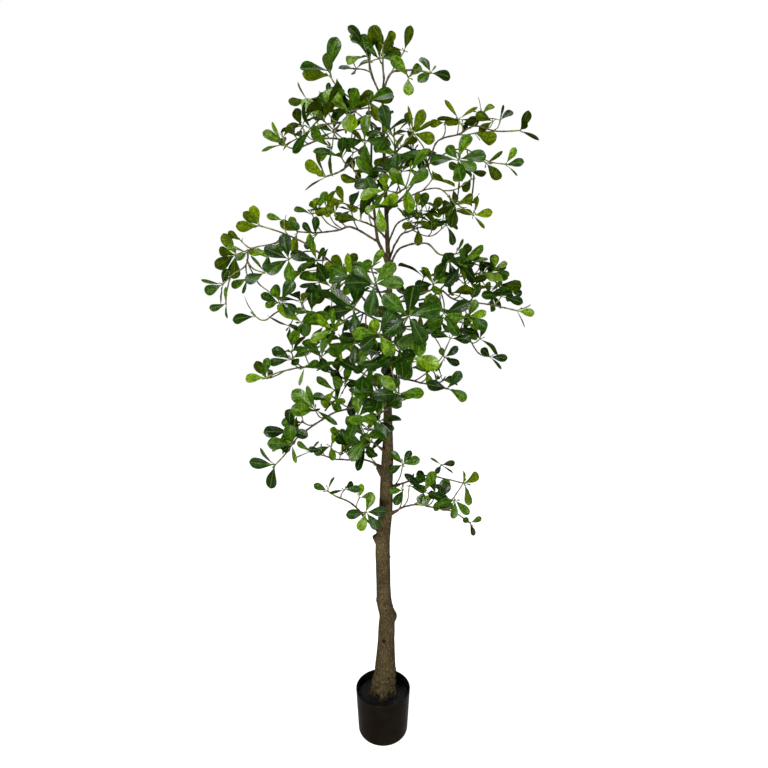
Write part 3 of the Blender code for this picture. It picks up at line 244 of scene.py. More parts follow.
# A limb grows from one of the two stems at a height, along the points of its route, and ends in a
# whorl of leaves. Each of its side twigs is the number of leaves and the points the twig runs
# through. All of them are whole centimetres, and a route's last point is where its leaves sit.
Limb = namedtuple("Limb", "name stem height route twigs")
LIMBS = [
    Limb("low_left", LEADER, 64,
         [(-4, -3, 69), (-9, -6, 76), (-14, -8, 79), (-16, -9, 81)],
         [(5, [(-5, -7, 74)]), (3, [(-11, -11, 82)])]),
    Limb("low_right", LEADER, 70,
         [(7, -2, 74), (11, -3, 75), (16, -4, 74), (21, -5, 73), (26, -5, 70)],
         [(3, [(8, -1, 80)]), (4, [(16, -3, 78)]), (3, [(21, -8, 78)])]),
    Limb("knot_right", LEADER, 79,
         [(8, 4, 80), (14, 7, 81), (20, 10, 79), (27, 12, 77)],
         [(4, [(6, -2, 87)]), (4, [(19, 9, 84)])]),
    Limb("stub_left", LEADER, 85,
         [(-6, 4, 87), (-12, 7, 86), (-17, 10, 86), (-24, 12, 88)],
         [(4, [(-11, 5, 91)]), (3, [(-17, 10, 90)])]),
    Limb("bend_left", LEADER, 90,
         [(-2, -5, 94), (-5, -10, 97)],
         [(5, [(-7, -12, 103)])]),
    Limb("left_low", LEADER, 106,
         [(-5, -5, 106), (-10, -9, 105), (-14, -11, 104), (-19, -14, 101), (-23, -17, 98),
          (-26, -18, 94), (-29, -18, 91)],
         [(6, [(-18, -18, 106)]), (4, [(-25, -17, 100)]), (3, [(-30, -15, 96)])]),
    Limb("left_mid_low", LEADER, 111,
         [(-10, -4, 113), (-14, -7, 115), (-21, -9, 117), (-28, -10, 116), (-33, -10, 114)],
         [(4, [(-14, -6, 110)]), (5, [(-17, -12, 120)]), (4, [(-26, -8, 119)])]),
    Limb("left_mid", LEADER, 125,
         [(-10, 4, 130), (-20, 6, 133), (-31, 7, 134), (-37, 7, 131), (-40, 7, 132)],
         [(4, [(-32, 5, 136)]), (4, [(-26, 9, 137)]), (4, [(-16, 8, 137)])]),
    Limb("left_big", LEADER, 131,
         [(-4, -4, 135), (-12, -8, 144), (-20, -10, 150), (-27, -12, 153), (-33, -13, 155)],
         [(3, [(-31, -12, 148)]), (6, [(-24, -20, 145)]),
          (4, [(-27, -13, 151), (-34, -14, 149), (-39, -15, 147)]),
          (4, [(-36, -16, 144), (-39, -17, 142), (-42, -17, 139)]), (3, [(-41, -18, 134)]),
          (4, [(-31, -17, 142)]), (4, [(-27, -10, 157)])]),
    Limb("fork_left", FORK, 153,
         [(-9, -2, 157), (-13, -3, 156), (-19, -5, 155), (-24, -6, 155)],
         [(4, [(-14, -3, 161)]), (3, [(-19, -1, 162)]), (4, [(-9, -5, 161)])]),
    Limb("stem_left", LEADER, 154,
         [(-2, -5, 156), (-4, -10, 156), (-6, -14, 156)],
         [(4, [(-4, -9, 160)])]),
    Limb("upper_left_front", FORK, 174,
         [(-7, -6, 175), (-11, -11, 170), (-15, -15, 167)],
         [(4, [(-11, -12, 173)])]),
    Limb("upper_left_long", FORK, 177,
         [(-10, 5, 183), (-13, 7, 185), (-19, 9, 186), (-27, 10, 184), (-31, 10, 185)],
         [(4, [(-15, 6, 187)]), (3, [(-25, 10, 187)])]),
    Limb("leader_left_low", LEADER, 183,
         [(-4, -5, 185), (-10, -9, 183), (-15, -11, 182), (-19, -12, 180)],
         [(4, [(-10, -8, 186)]), (4, [(-5, -8, 179)])]),
    Limb("leader_left_high", LEADER, 190,
         [(-5, 3, 194), (-9, 5, 196), (-13, 7, 200), (-16, 8, 204)],
         [(4, [(-19, 10, 200)]), (4, [(-9, 1, 192)])]),
    Limb("top_left", LEADER, 194,
         [(-2, 3, 199), (-4, 5, 204), (-4, 6, 208)],
         [(3, [(-8, 6, 205)]), (4, [(-1, 6, 208)])]),
    Limb("top_leader", LEADER, 199,
         [(0, -1, 202), (0, -2, 207)],
         []),
    Limb("top_right", LEADER, 195,
         [(2, -3, 199), (5, -4, 199), (9, -6, 198), (13, -7, 197)],
         [(4, [(6, -3, 205)])]),
    Limb("upper_right_long", LEADER, 162,
         [(6, 3, 167), (10, 5, 173), (14, 6, 179), (17, 7, 185), (23, 7, 187), (28, 7, 189),
          (34, 6, 187), (41, 5, 187)],
         [(3, [(23, 7, 191)]), (3, [(30, 8, 193)]), (3, [(35, 5, 190)]), (4, [(19, 9, 191)]),
          (3, [(15, 0, 177), (22, -5, 178), (29, -7, 174), (34, -7, 173)]), (6, [(20, -13, 172)]),
          (4, [(11, -4, 167), (16, -7, 166), (20, -8, 162)]), (3, [(25, -8, 159)])]),
    Limb("right_up", LEADER, 148,
         [(4, 4, 154), (6, 6, 157), (9, 9, 159), (11, 11, 160)],
         [(5, [(15, 10, 157), (20, 12, 161)]), (4, [(12, 10, 165)])]),
    Limb("right_arch", LEADER, 146,
         [(4, -3, 150), (7, -6, 151), (12, -9, 151), (16, -10, 148), (20, -11, 148)],
         [(4, [(21, -12, 145)])]),
    Limb("right_long", LEADER, 135,
         [(6, -3, 137), (11, -5, 138), (16, -6, 139), (21, -6, 136), (30, -5, 135), (39, -4, 133)],
         [(5, [(14, -9, 140)]), (4, [(24, -8, 131)]), (3, [(34, -5, 137)]), (4, [(17, -10, 132)])]),
    Limb("right_back", LEADER, 136,
         [(10, 8, 137), (16, 12, 139), (22, 15, 144), (29, 16, 146), (36, 17, 147)],
         [(5, [(26, 14, 150)]), (4, [(32, 17, 151)])]),
    Limb("right_low", LEADER, 128,
         [(11, 8, 129), (16, 11, 127), (26, 15, 127), (32, 17, 120), (36, 17, 119)],
         [(4, [(20, 12, 119)]), (4, [(18, 11, 131)]), (4, [(26, 13, 130)])]),
    Limb("right_lowest", LEADER, 114,
         [(7, -5, 113), (13, -10, 112), (18, -12, 111)],
         [(4, [(12, -12, 116)])]),
    Limb("front_right_high", LEADER, 124,
         [(4, -14, 125), (6, -30, 130)],
         [(5, [(9, -25, 127)])]),
    Limb("front_mid", LEADER, 121,
         [(2, -12, 123), (-1, -27, 126)],
         [(4, [(4, -24, 123)])]),
    Limb("front_high", LEADER, 135,
         [(0, -10, 136), (-2, -26, 138)],
         [(5, [(-8, -22, 140)])]),
    Limb("front_left", LEADER, 128,
         [(-3, -12, 131), (-7, -25, 132)],
         [(5, [(-12, -27, 127)]), (4, [(-12, -22, 136)]), (5, [(-7, -24, 124)])]),
    Limb("back_left_high", LEADER, 139,
         [(-7, 12, 141), (-16, 20, 147), (-21, 24, 150)],
         [(5, [(-13, 18, 148)]), (3, [(-27, 22, 148)])]),
    Limb("front_low", LEADER, 110,
         [(-2, -12, 113), (-5, -23, 116)],
         [(5, [(-1, -21, 111)]), (5, [(-10, -22, 119)])]),
    Limb("front_lowest", LEADER, 103,
         [(1, -10, 105), (-3, -20, 104)],
         [(4, [(5, -15, 108)])]),
    Limb("front_right_low", LEADER, 115,
         [(4, -14, 114), (4, -25, 111)],
         [(5, [(7, -22, 120)])]),
    Limb("back_right", LEADER, 123,
         [(5, 12, 121), (10, 28, 115)],
         [(4, [(15, 26, 118)])]),
    Limb("back_high", LEADER, 142,
         [(5, 15, 141), (9, 30, 140)],
         [(4, [(13, 30, 135)])]),
    Limb("back_left", LEADER, 119,
         [(-4, 15, 121), (-11, 30, 120)],
         [(4, [(-6, 30, 126)]), (4, [(-15, 28, 125)])]),
    Limb("upper_front", LEADER, 161,
         [(3, -9, 164), (6, -19, 163)],
         [(5, [(3, -17, 167)])]),
    Limb("upper_back", LEADER, 168,
         [(3, 10, 177), (10, 20, 187)],
         [(4, [(3, 16, 184)])]),
    Limb("upper_mid", LEADER, 175,
         [(4, -6, 177), (8, -12, 179)],
         [(4, [(1, -10, 180)])]),
    Limb("fork_back", FORK, 171,
         [(-5, 10, 179), (-6, 20, 189)],
         [(4, [(-10, 22, 187)])]),
    Limb("fork_top", FORK, 185,
         [(-4, -1, 188), (-4, -2, 192)],
         []),
    Limb("fork_back_low", FORK, 159,
         [(-7, 11, 166), (-13, 20, 170)],
         [(3, [(-18, 20, 171)]), (4, [(-5, 14, 171)])]),
    Limb("right_back_high", LEADER, 152,
         [(5, 12, 162), (16, 20, 167)],
         [(4, [(11, 20, 169)]), (4, [(23, 22, 168)])]),
]

# How the leaves of a whorl look in the photograph: their size in percent, and an hour of the clock
# for each leaf, as seen from the front. A minus sign marks a slim leaf. Whorl 0 is the one at the
# limb's own end, the others are those of its side twigs in order. The leaves of a whorl that isn't
# listed spread by chance.
CLOCKS = {
    "low_left": {0: (62, 10, -1), 1: (80, 9.2, 6.6, 12.8, 3, 4.9), 2: (60, 2.2, 3, -8.9)},
    "low_right": {0: (48, 5.6, 10.2, 2.2), 1: (70, -12.7, 2.3, 3.3), 2: (80, 11.3, 1.3, 8, 4.8),
                  3: (70, 9, 6.2, 4.6)},
    "knot_right": {0: (93, 12.1, 1.6, 5.6), 1: (75, 8, 10.4, 1.2, 2.2), 2: (60, -10.2, 2.8, -4, 7.3)},
    "stub_left": {0: (70, 10, -1.3, -8.3), 1: (85, 7.4, 10.4, 3, 11.4), 2: (75, 8, 5.8, 1)},
    "bend_left": {1: (85, 3, 6.8, 11.8, 1.8)},
    "left_low": {0: (95, 9.2, 6.3, -11), 1: (100, 10.5, 9, 7.3, -4, -11.6, 8.2),
                 2: (86, 9.2, 12.3, 4.3, 8.4), 3: (80, 2.4, 3.8)},
    "left_mid_low": {0: (74, 8.7, 11.6, 12.2), 3: (85, 8.8, 4, 10, 2.2)},
    "left_mid": {0: (100, 8.7, -11.4), 1: (76, 11.4, 8.4, 9.8, 3.6)},
    "left_big": {0: (80, 11.4, 10, 8.5), 1: (70, 6.2, 2.4, 9), 2: (86, 9.8, 7.9, 12, 5.8, 11.1),
                 3: (85, 10.9, 8.9, 7.4, 6.2), 4: (70, 8.4, -6.2, -9.3, 12.8), 5: (60, 8.6, -5.7, -12.4),
                 6: (72, 8.1, -10.6, -2), 7: (62, 9.5, 4.2)},
    "fork_left": {0: (75, 10.8, 9.9, 6.4), 1: (75, 11.7, 12.9, 2.9, 9), 2: (75, 12.8, 3.2, 4)},
    "stem_left": {0: (82, 12.6, 3, 9)},
    "upper_left_front": {0: (85, 10.2, -8.1, -11.2)},
    "upper_left_long": {0: (93, 9.9, -8.1, -11.3)},
    "leader_left_high": {0: (105, 11.9, 9.2), 1: (65, 3.9, 5.2, 7.3)},
    "top_left": {0: (104, 11.4, 9.0, 10.2), 1: (85, 9.9, 12, 2), 2: (84, 1.3, 2.6, 11.7)},
    "top_leader": {0: (75, 1.4, 11.0)},
    "top_right": {0: (76, 3.0, 7.6, 11.2), 1: (78, 12.7, -9.2)},
    "upper_right_long": {0: (80, 12.6, 1.3, -3.9), 1: (85, -10.6, -2.3, -3.4, -8.8),
                         2: (64, -11.2, 1.8, -8.7), 3: (64, -12.4, 1.6, -9.2), 4: (60, 9, 3),
                         5: (65, 1.0, 2.9, -4.9), 6: (100, 11, 1, 3, 4.4, 6, 9),
                         7: (84, -12, 2.6, 6.2, 8.2), 8: (66, -12.1, 3, -4.8)},
    "right_up": {0: (75, 6.1, 9.1, 2.6), 1: (85, 5.2, 3.2, 9, 12.2, 1.5), 2: (80, 6.6, 12.4, 8.8, 3.5)},
    "right_arch": {0: (58, -0.6, 2.4)},
    "right_long": {0: (70, 3.2, -2.4, -5), 2: (85, 2.6, 12.9, 4, 8.8), 3: (85, 2.7, 3.6, 8.8)},
    "right_back": {0: (80, 11.8, 1.9, 3.9), 1: (75, 12.3, 9.3, 2.8, 5, 7), 2: (80, 8.9, 4, 5)},
    "right_low": {0: (76, 3.2, 10.4, -4.6), 1: (72, 1.4, 4, -6.9, 11.2), 2: (85, 5.2, 6.2, 2.6, 9.2)},
    "right_lowest": {0: (82, 1.3, 4.2, 9.3), 1: (60, 5.4, 10.6)},
    "front_right_high": {0: (100, 12.3, 10.3, 2.7, 7.6, 5.1), 1: (90, 6.3, 7.6, 10, 2)},
    "front_mid": {0: (90, 9, 7.6, 4.8, 1.2)},
    "front_high": {0: (98, 10.3, 1.3, 3.1, 6.3, 8.8)},
    "front_left": {0: (90, 10.2, 5.8, 8.6, 12.5)},
    "back_left_high": {1: (85, 10.6, 9.4, 1.5, 3.2, 7), 2: (80, 8.4, 1.4, 3.6)},
    "front_lowest": {1: (60, 12.9, 10.4, 11.6, 1.9)},
    "front_right_low": {0: (85, 2.9, 10.6, 9), 1: (95, 3.7, 11, 8.5, 6.5)},
    "back_right": {1: (55, 8.9, 3.9)},
    "upper_mid": {0: (85, -11.7, 12.9, -2.2, 3.6)},
    "fork_top": {0: (95, 2.5, 4, 9)},
    "fork_back_low": {0: (72, 4, 9.5, 11.4), 1: (75, 6.3, 9, 3)},
    "right_back_high": {0: (80, 5.5, 1.2, 3.5), 1: (62, 12.2, 5.8, 8.6, 2.5)},
}

# The extra side twigs fill the crown between the main ones, and only this script has them. Each is
# its leaves, as a number or by the clock as above, and the place of its end in whole centimetres.
EXTRA_TWIGS = {
    "low_left": [((70, 2.9), -5, -4, 70), ((62, 12.4, 2.7), -7, -6, 78)],
    "low_right": [(4, 12, -7, 80), ((65, 7.1, 9.4), 6, -2, 79), ((70, 10.3, 4.5, 7, 1), 17, -4, 77),
                  ((65, -12.1), 25, 2, 80)],
    "knot_right": [((75, 3.2, 10.5, 12.3), 15, 8, 78)],
    "stub_left": [(4, -4, -3, 91), ((58, 9.2), -20, 9, 89), (4, -14, 10, 87),
                  ((70, 9.4, 10.6, 4), -13, 8, 93)],
    "bend_left": [(4, -1, -12, 102), (4, -4, -9, 99), (4, -5, -8, 94)],
    "left_low": [(3, -23, -14, 99), (4, -13, -6, 107), ((80, 8.9, 8.4), -22, -14, 102),
                 ((85, 8.4, 6.6, -5.6, 9.2, 12.2), -24, -20, 97),
                 ((75, 3.3, 4.2, 9.6), -15, -9, 107)],
    "left_mid_low": [((70, 9.4, -6.6, 2.5), -22, -10, 117), (4, -26, -8, 121), (5, -22, -8, 120),
                     (5, -13, -5, 115), (4, -18, -8, 121), (5, -11, -7, 112), (4, -9, -6, 109),
                     ((85, 12.0, 10.8), -35, 0, 113)],
    "left_mid": [(3, -25, 4, 130), (4, -19, 10, 129), (4, -25, 6, 136), (4, -22, 5, 133),
                 (3, -29, 6, 129), (5, -9, 2, 136)],
    "left_big": [((50, 10.2), -38, -13, 151), ((70, 8.2, -6.9), -36, -15, 141),
                 ((75, 9.2, 3.1, 7.2), -35, -18, 147), (5, -18, -12, 146), (5, -17, -14, 140),
                 ((80, 10.7, 9.5, 8.3, 4.7, 1), -27, -16, 135)],
    "fork_left": [((65, 9.3, 12.6, 11.7), -20, -5, 160), (4, -16, -4, 162),
                  ((70, 10.7, 7.3, 12.4), -19, -6, 154)],
    "upper_left_front": [((75, 9.6, 2, 3.3, 11), -6, -9, 168), ((70, 11.4, 2.4, 3.4), -8, -8, 171)],
    "upper_left_long": [(4, -9, 3, 186), (4, -25, 9, 190), (4, -21, 8, 192), (3, -31, 10, 187),
                        (3, -27, 9, 187), ((115, 10.5, 1.4, 7.7), -16, -8, 184)],
    "leader_left_low": [(4, -15, -10, 186), ((100, 10, 1.6, 6.8, 8), -8, 2, 191), (4, -14, -8, 177)],
    "leader_left_high": [((115, 12.4, 9), -16, 7, 205), ((75, -11.2, 8.8, 4.3, 5.2), -23, 8, 197),
                         (5, -14, 4, 194), ((118, 10.2, 1.8, 5.8), -9, -9, 186)],
    "top_left": [((110, 12.3, 11.2, 8), -4, 5, 208), ((82, 9.0, 10.3), -5, -3, 206)],
    "top_leader": [((80, 3, 9.4, 1.9, 10.4), -1, -3, 203)],
    "top_right": [((82, 10.5, 1.6, 6.0), 7, -5, 197)],
    "upper_right_long": [(4, 14, -4, 170), ((72, 11.9, 2.3), 8, 4, 187), ((75, 8.3, 9.5), 33, 6, 190),
                         ((80, 9, 3, 2.4), 24, 8, 190), ((100, 4.1), 27, 2, 185),
                         ((78, -2, 4.4), 29, -5, 174), ((68, 7.5, 1.2, 3.6, 9.6), 23, -10, 171),
                         ((85, 7.7, 10.6), 24, -10, 168), (4, 24, -8, 162)],
    "right_up": [(5, 15, 8, 161), (4, 19, 10, 164), (4, 8, 5, 160), (4, 14, 9, 164)],
    "right_arch": [(6, 18, -11, 146)],
    "right_long": [(4, 12, -1, 143), (4, 27, -3, 139), (4, 16, -6, 134), (4, 20, -4, 138),
                   (4, 24, -2, 141)],
    "right_back": [(3, 38, 17, 143), (5, 28, 12, 149), ((65, 8.6, 10.6, 3.4, 5.8), 34, 15, 148),
                   (4, 31, 14, 146), (5, 35, 15, 140), ((60, 1.2, 3.6, 6.2, 8.8), 41, 14, 141),
                   ((62, 11.6, 1.9, 3.8), 36, 12, 147)],
    "right_low": [(3, 33, 20, 125), (5, 26, 14, 127), (4, 23, 12, 128)],
    "right_lowest": [(3, 17, -8, 113), (4, 15, -9, 113), ((75, 9.3, 3.3), 19, -9, 125)],
    "front_right_high": [(4, 3, -12, 130)],
    "front_mid": [(5, -3, -20, 119)],
    "front_high": [((80, 1.2, 4, 7.8, 9), -3, -18, 143)],
    "front_left": [(4, -4, -22, 124), (4, -10, -20, 129)],
    "front_lowest": [((80, 9.2, 10.6, 2), 0, -22, 107)],
    "front_right_low": [(5, 2, -26, 118), (5, 3, -18, 119)],
    "back_left_high": [(4, -18, 26, 143), (4, -7, 14, 146)],
    "back_right": [(4, 4, 26, 109)],
    "back_high": [(4, 4, 30, 135)],
    "back_left": [(4, -5, 26, 113)],
    "upper_front": [(4, 1, -17, 163), (3, 7, -20, 167), (4, 5, -10, 170), (4, -1, -14, 160)],
    "upper_back": [((75, 9, 2.2, 6.5), 13, 20, 185)],
    "upper_mid": [(5, -2, -10, 168), (5, 3, -6, 181), (4, 4, -6, 176), (3, 5, -6, 178),
                  ((95, 11.4, 7.4), 2, -10, 180)],
    "fork_top": [((60, 9.4, 2.6, 6), -1, 5, 191), ((105, 2), -4, -6, 190)],
}

print("limbs", len(LIMBS), "side twigs", sum(len(limb.twigs) for limb in LIMBS),
      "extra side twigs", sum(len(twigs) for twigs in EXTRA_TWIGS.values()))

# %% [markdown]
# ### Growing rules
# A twig leaves the nearest limb a little before its own end, sags slightly and has small kinks,
# like wire that was bent by hand. At its end the leaves stand in a ring round a short hub. Each leaf
# tries a few directions until it crosses nothing that has already grown, so that no leaf cuts
# through another. The draws are seeded by the limb's name, so the tree is the same in every run.
#
# Stems, limbs and twigs are all tubes along a route, and a real twig's bark runs along it without
# a twist. So each ring of points is carried on from the next one along the tube. A Blender curve with
# a bevel would be shorter to write, but its faces can't be tested against the leaves as they grow.

# %% Tubes along a route
TRUNK_SIDES = 10
FLARE_RADIUS = 0.045
# The solid's flare has even lobes. Leaves were kept clear of that solid, so it is needed here too.
FLARE_LOBES = 5
FLARE_LOBE_DEPTH = 0.10
FLARE_LOBE_TURN = 0.6
FLARE_FADE = 0.09
STUB_SIDES = 8
STUB_BEND_SHARE = 0.6
STUB_BEND = Vector((0.0, 0.0, -0.002))


def frame_round(axis, turn):
    """Two directions at right angles to an axis, turned about it."""
    first = Quaternion(axis, turn) @ axis.orthogonal().normalized()
    return first, axis.cross(first)


def tube_rings(nodes, tangents, start_side):
    """Ring directions carried from the last node back to the first without twisting."""
    sides_at = [None] * len(nodes)
    first = start_side
    for index in range(len(nodes) - 1, -1, -1):
        tangent = tangents[index]
        first = (first - tangent * first.dot(tangent)).normalized()
        sides_at[index] = (first, tangent.cross(first))
    return sides_at


def tangents_of(nodes, last):
    """Directions along a route, with the last one given."""
    result = [(nodes[1] - nodes[0]).normalized()]
    for before, after in zip(nodes, nodes[2:]):
        result.append((after - before).normalized())
    result.append(last)
    return result


def build_tube(nodes, radii, sides, shape_at=None):
    """A closed tube along a route. shape_at scales the radius by ring and angle."""
    last = (nodes[-1] - nodes[-2]).normalized()
    tangents = tangents_of(nodes, last)
    frames = tube_rings(nodes, tangents, last.orthogonal().normalized())
    vertices = []
    for index, (node, radius) in enumerate(zip(nodes, radii)):
        first, second = frames[index]
        for step in range(sides):
            angle = math.tau * step / sides
            reach = radius * (shape_at(index, angle) if shape_at else 1.0)
            outward = first * math.cos(angle) + second * math.sin(angle)
            vertices.append(node + outward * reach)
    faces = [tuple(range(sides - 1, -1, -1))]
    for index in range(len(nodes) - 1):
        low = index * sides
        high = low + sides
        for step in range(sides):
            after = (step + 1) % sides
            faces.append((low + step, low + after, high + after, high + step))
    faces.append(tuple(range(len(vertices) - sides, len(vertices))))
    return vertices, faces


def flare_shape(index, angle):
    """Root lobes round the foot of the trunk, which fade out upwards."""
    rise = LEADER_LINE[index][2] - LEADER_LINE[0][2]
    fade = max(0.0, 1.0 - rise / FLARE_FADE)
    return 1.0 + FLARE_LOBE_DEPTH * fade * math.cos(FLARE_LOBES * angle + FLARE_LOBE_TURN)


def stub_tube(start, end, wide, narrow, sides):
    """A sawn stub: a short thinning tube with a slight bend."""
    start = Vector(start)
    end = Vector(end)
    middle = start.lerp(end, STUB_BEND_SHARE) + STUB_BEND
    return build_tube([start, middle, end], [wide, (wide + narrow) / 2.0, narrow], sides)


def trunk_parts():
    """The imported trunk's overlapping tubes: its two stems and its stubs."""
    parts = []
    for line, sides, shape_at in ((LEADER_LINE, TRUNK_SIDES, flare_shape), (FORK_LINE, STUB_SIDES, None)):
        nodes = [Vector(row[:3]) for row in line]
        parts.append(build_tube(nodes, [row[3] for row in line], sides, shape_at))
    return parts + [stub_tube(*stub, STUB_SIDES) for stub in STUBS]


print("trunk tubes:", len(trunk_parts()))

# %% [markdown]
# A wire limb runs smoothly from bend to bend with small kinks, where someone has pressed it into
# shape. A smooth curve through the chosen points gives the sweep, and a seeded step aside the kinks.

# %% Routes of limbs and twigs
LIMB_SPAN = 0.080
TWIG_SPAN = 0.060
SHOOT_KINK = 0.003
TWIG_FORWARD = 0.55
TWIG_ALONG_LIMB = 0.22
TWIG_TO_TIP = 0.275
TWIG_SAG = 0.06
TWIG_FIRST_START = 0.03
TWIG_LAST_SHARE = 0.9


def point_on(line, height):
    """The centre of a stem at a height."""
    for low, high in zip(line, line[1:]):
        if low[2] <= height <= high[2]:
            share = (height - low[2]) / (high[2] - low[2])
            return Vector(low[:3]).lerp(Vector(high[:3]), share)
    return Vector(line[-1][:3])


def spline_point(points, index, share):
    """A point on the smooth curve through a list of points."""
    before = points[max(index - 1, 0)]
    here = points[index]
    there = points[index + 1]
    beyond = points[min(index + 2, len(points) - 1)]
    square = share * share
    cube = square * share
    return (here * (1.5 * cube - 2.5 * square + 1.0)
            + there * (-1.5 * cube + 2.0 * square + 0.5 * share)
            + before * (-0.5 * cube + square - 0.5 * share)
            + beyond * (0.5 * cube - 0.5 * square))


def aside(draw):
    """A small random step, as a wiry twig's knuckles make."""
    return Vector((draw.uniform(-1, 1), draw.uniform(-1, 1), draw.uniform(-1, 1))) * SHOOT_KINK


def kinked(points, draw):
    """Nodes along the smooth curve, all but the ends moved a little aside."""
    nodes = [points[0].copy()]
    for index in range(len(points) - 1):
        count = max(1, round((points[index + 1] - points[index]).length / LIMB_SPAN))
        for step in range(1, count + 1):
            node = spline_point(points, index, step / count)
            if index < len(points) - 2 or step < count:
                node += aside(draw)
            nodes.append(node)
    return nodes


def limb_nodes(limb, draw):
    """A limb's nodes, from inside its stem to its last whorl."""
    line = LEADER_LINE if limb.stem == LEADER else FORK_LINE
    points = [point_on(line, limb.height * CM)]
    points += [Vector(point) * CM for point in limb.route]
    return kinked(points, draw)


def twig_nodes(paths, points, draw):
    """A side twig's nodes: it leaves the nearest path of its limb a little before its tip."""
    target = Vector(points[0]) * CM
    best = None
    for path in paths:
        travelled = 0.0
        for low, high in zip(path, path[1:]):
            span = high - low
            share = min(1.0, max(0.0, (target - low).dot(span) / span.length_squared))
            distance = (low + span * share - target).length
            if best is None or distance < best[0]:
                best = (distance, travelled + span.length * share, path)
            travelled += span.length
    distance, place, path = best
    place = max(TWIG_FIRST_START, place - TWIG_FORWARD * distance)
    for low, high in zip(path, path[1:]):
        span = high - low
        if place <= span.length or high is path[-1]:
            share = min(TWIG_LAST_SHARE, place / span.length)
            start = low + span * share
            along = span.normalized()
            break
        place -= span.length
    if len(points) > 1:
        return kinked([start] + [Vector(point) * CM for point in points], draw)
    reach = (target - start).length
    to_tip = (target - start).normalized()
    bend = start + (along * TWIG_ALONG_LIMB + to_tip * TWIG_TO_TIP) * reach
    bend.z -= TWIG_SAG * reach
    spans = max(2, round(reach / TWIG_SPAN))
    nodes = []
    for step in range(spans + 1):
        share = step / spans
        node = start * (1 - share) ** 2 + bend * (2 * share * (1 - share)) + target * share ** 2
        if 0 < step < spans:
            node += aside(draw)
        nodes.append(node)
    return nodes


print("first limb's nodes:", len(limb_nodes(LIMBS[0], random.Random(LIMBS[0].name))))

# %% [markdown]
# The leaves of a whorl share one hub, a short six-sided pin at the twig's end, and each leaf takes
# one of its sides. A leaf is measured by its lean from the twig, its bend along its length and its
# roll, because that is how one would set a wired leaf by hand.

# %% Leaves round a hub
HUB_RADIUS = 0.0026
HUB_HEIGHT = 0.0016
LEAF_THICKNESS = 0.0008
BLADE_STATIONS = ((0.45, 0.66), (0.80, 1.0))
BLADE_END = (1.02, 0.35)

Shoot = namedtuple("Shoot", "nodes radii sides axis turn leaves")
Leaf = namedtuple("Leaf", "side heading lean bend roll length width")


def leaf_frames(hub, axis, turn, leaf, sides, stations):
    """Centre, sideways and upward direction of a leaf at each station."""
    first, second = frame_round(axis, turn)
    outward = first * math.cos(leaf.heading) + second * math.sin(leaf.heading)
    across = axis.cross(outward)
    centre = hub + outward * (HUB_RADIUS * math.cos(math.pi / sides))
    frames = []
    done = 0.0
    for station in stations:
        angle = leaf.lean + leaf.bend * (station + done) / 2.0
        ahead = axis * math.cos(angle) + outward * math.sin(angle)
        centre = centre + ahead * (leaf.length * (station - done))
        angle = leaf.lean + leaf.bend * station
        ahead = axis * math.cos(angle) + outward * math.sin(angle)
        sideways = Quaternion(ahead, leaf.roll * station) @ across
        frames.append((centre, sideways, ahead.cross(sideways)))
        done = station
    return frames


def section_at(centre, half, thick):
    """The four corners of a blade's section: low left, low right, high right, high left."""
    return [centre - half - thick, centre + half - thick, centre + half + thick, centre - half + thick]


def loft(section, start):
    """The triangles from one section of a blade to the next, whose first corner has this number."""
    left_low, right_low, right_high, left_high = section
    return [
        (left_low, right_low, start + 1), (left_low, start + 1, start),
        (right_high, left_high, start + 2), (left_high, start + 3, start + 2),
        (right_low, right_high, start + 2), (right_low, start + 2, start + 1),
        (left_high, left_low, start), (left_high, start, start + 3),
    ]


def blade_solid(hub, axis, turn, leaf, sides, spare, begin):
    """A leaf's own closed solid a little larger than life, for keeping leaves clear of others."""
    outline = BLADE_STATIONS + (BLADE_END,)
    stations = [0.0] + [place for place, share in outline]
    foot, *frames = leaf_frames(hub, axis, turn, leaf, sides, stations)
    sections = []
    for (centre, sideways, upward), (place, share) in zip(frames, outline):
        half = sideways * (leaf.width * share / 2.0 + spare)
        sections.append((centre, half, upward * (LEAF_THICKNESS / 2.0 + spare)))
    start = (foot[0], foot[1] * (HUB_RADIUS * math.sin(math.pi / sides)), axis * (HUB_HEIGHT / 2.0))
    neck = [one.lerp(other, begin) for one, other in zip(start, sections[0])]
    vertices = []
    for section in [neck] + sections:
        vertices += section_at(*section)
    faces = [(0, 3, 2, 1)]
    for low in range(0, len(vertices) - 4, 4):
        faces += loft([low, low + 1, low + 2, low + 3], low + 4)
    end = len(vertices) - 4
    faces.append((end, end + 1, end + 2, end + 3))
    return vertices, faces


print("sections of a blade:", len(BLADE_STATIONS) + 1)

# %% [markdown]
# On a real tree no leaf grows through another, and here none may either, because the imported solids
# must not cross. Pushing leaves apart afterwards would bend them out of their hubs. So each leaf is
# tried before it is kept: a few seeded tries at a direction, each a little shorter than the last.

# %% Room to grow
FRONT = Vector((0.0, -1.0, 0.0))
UP = Vector((0.0, 0.0, 1.0))
LEAF_LENGTH = 0.074
LEAF_WIDTH_RATIO = 0.45
LEAF_CLEAR = 0.0012
NECK_SHARE = 0.3
FOOT_SHARE = 0.12
TRIES = 10
LEAN = (46, 76)
UPRIGHT_LEAN = (38, 46)
UPRIGHT_SCALE = 0.8
BEND = (5, 38)
ROLL = (-28, 28)
UNEVEN = 10
WHORL_SCALE = (0.88, 1.10)
LEAF_SCALE = (0.86, 1.12)
WIDTH_SCALE = (0.92, 1.08)
SHRINK = 0.04
OUTWARD_SHARE = (0.0, 0.3)
UPWARD_SHARE = (0.1, 0.9)
FRONT_SHARE = (0.0, 0.7)


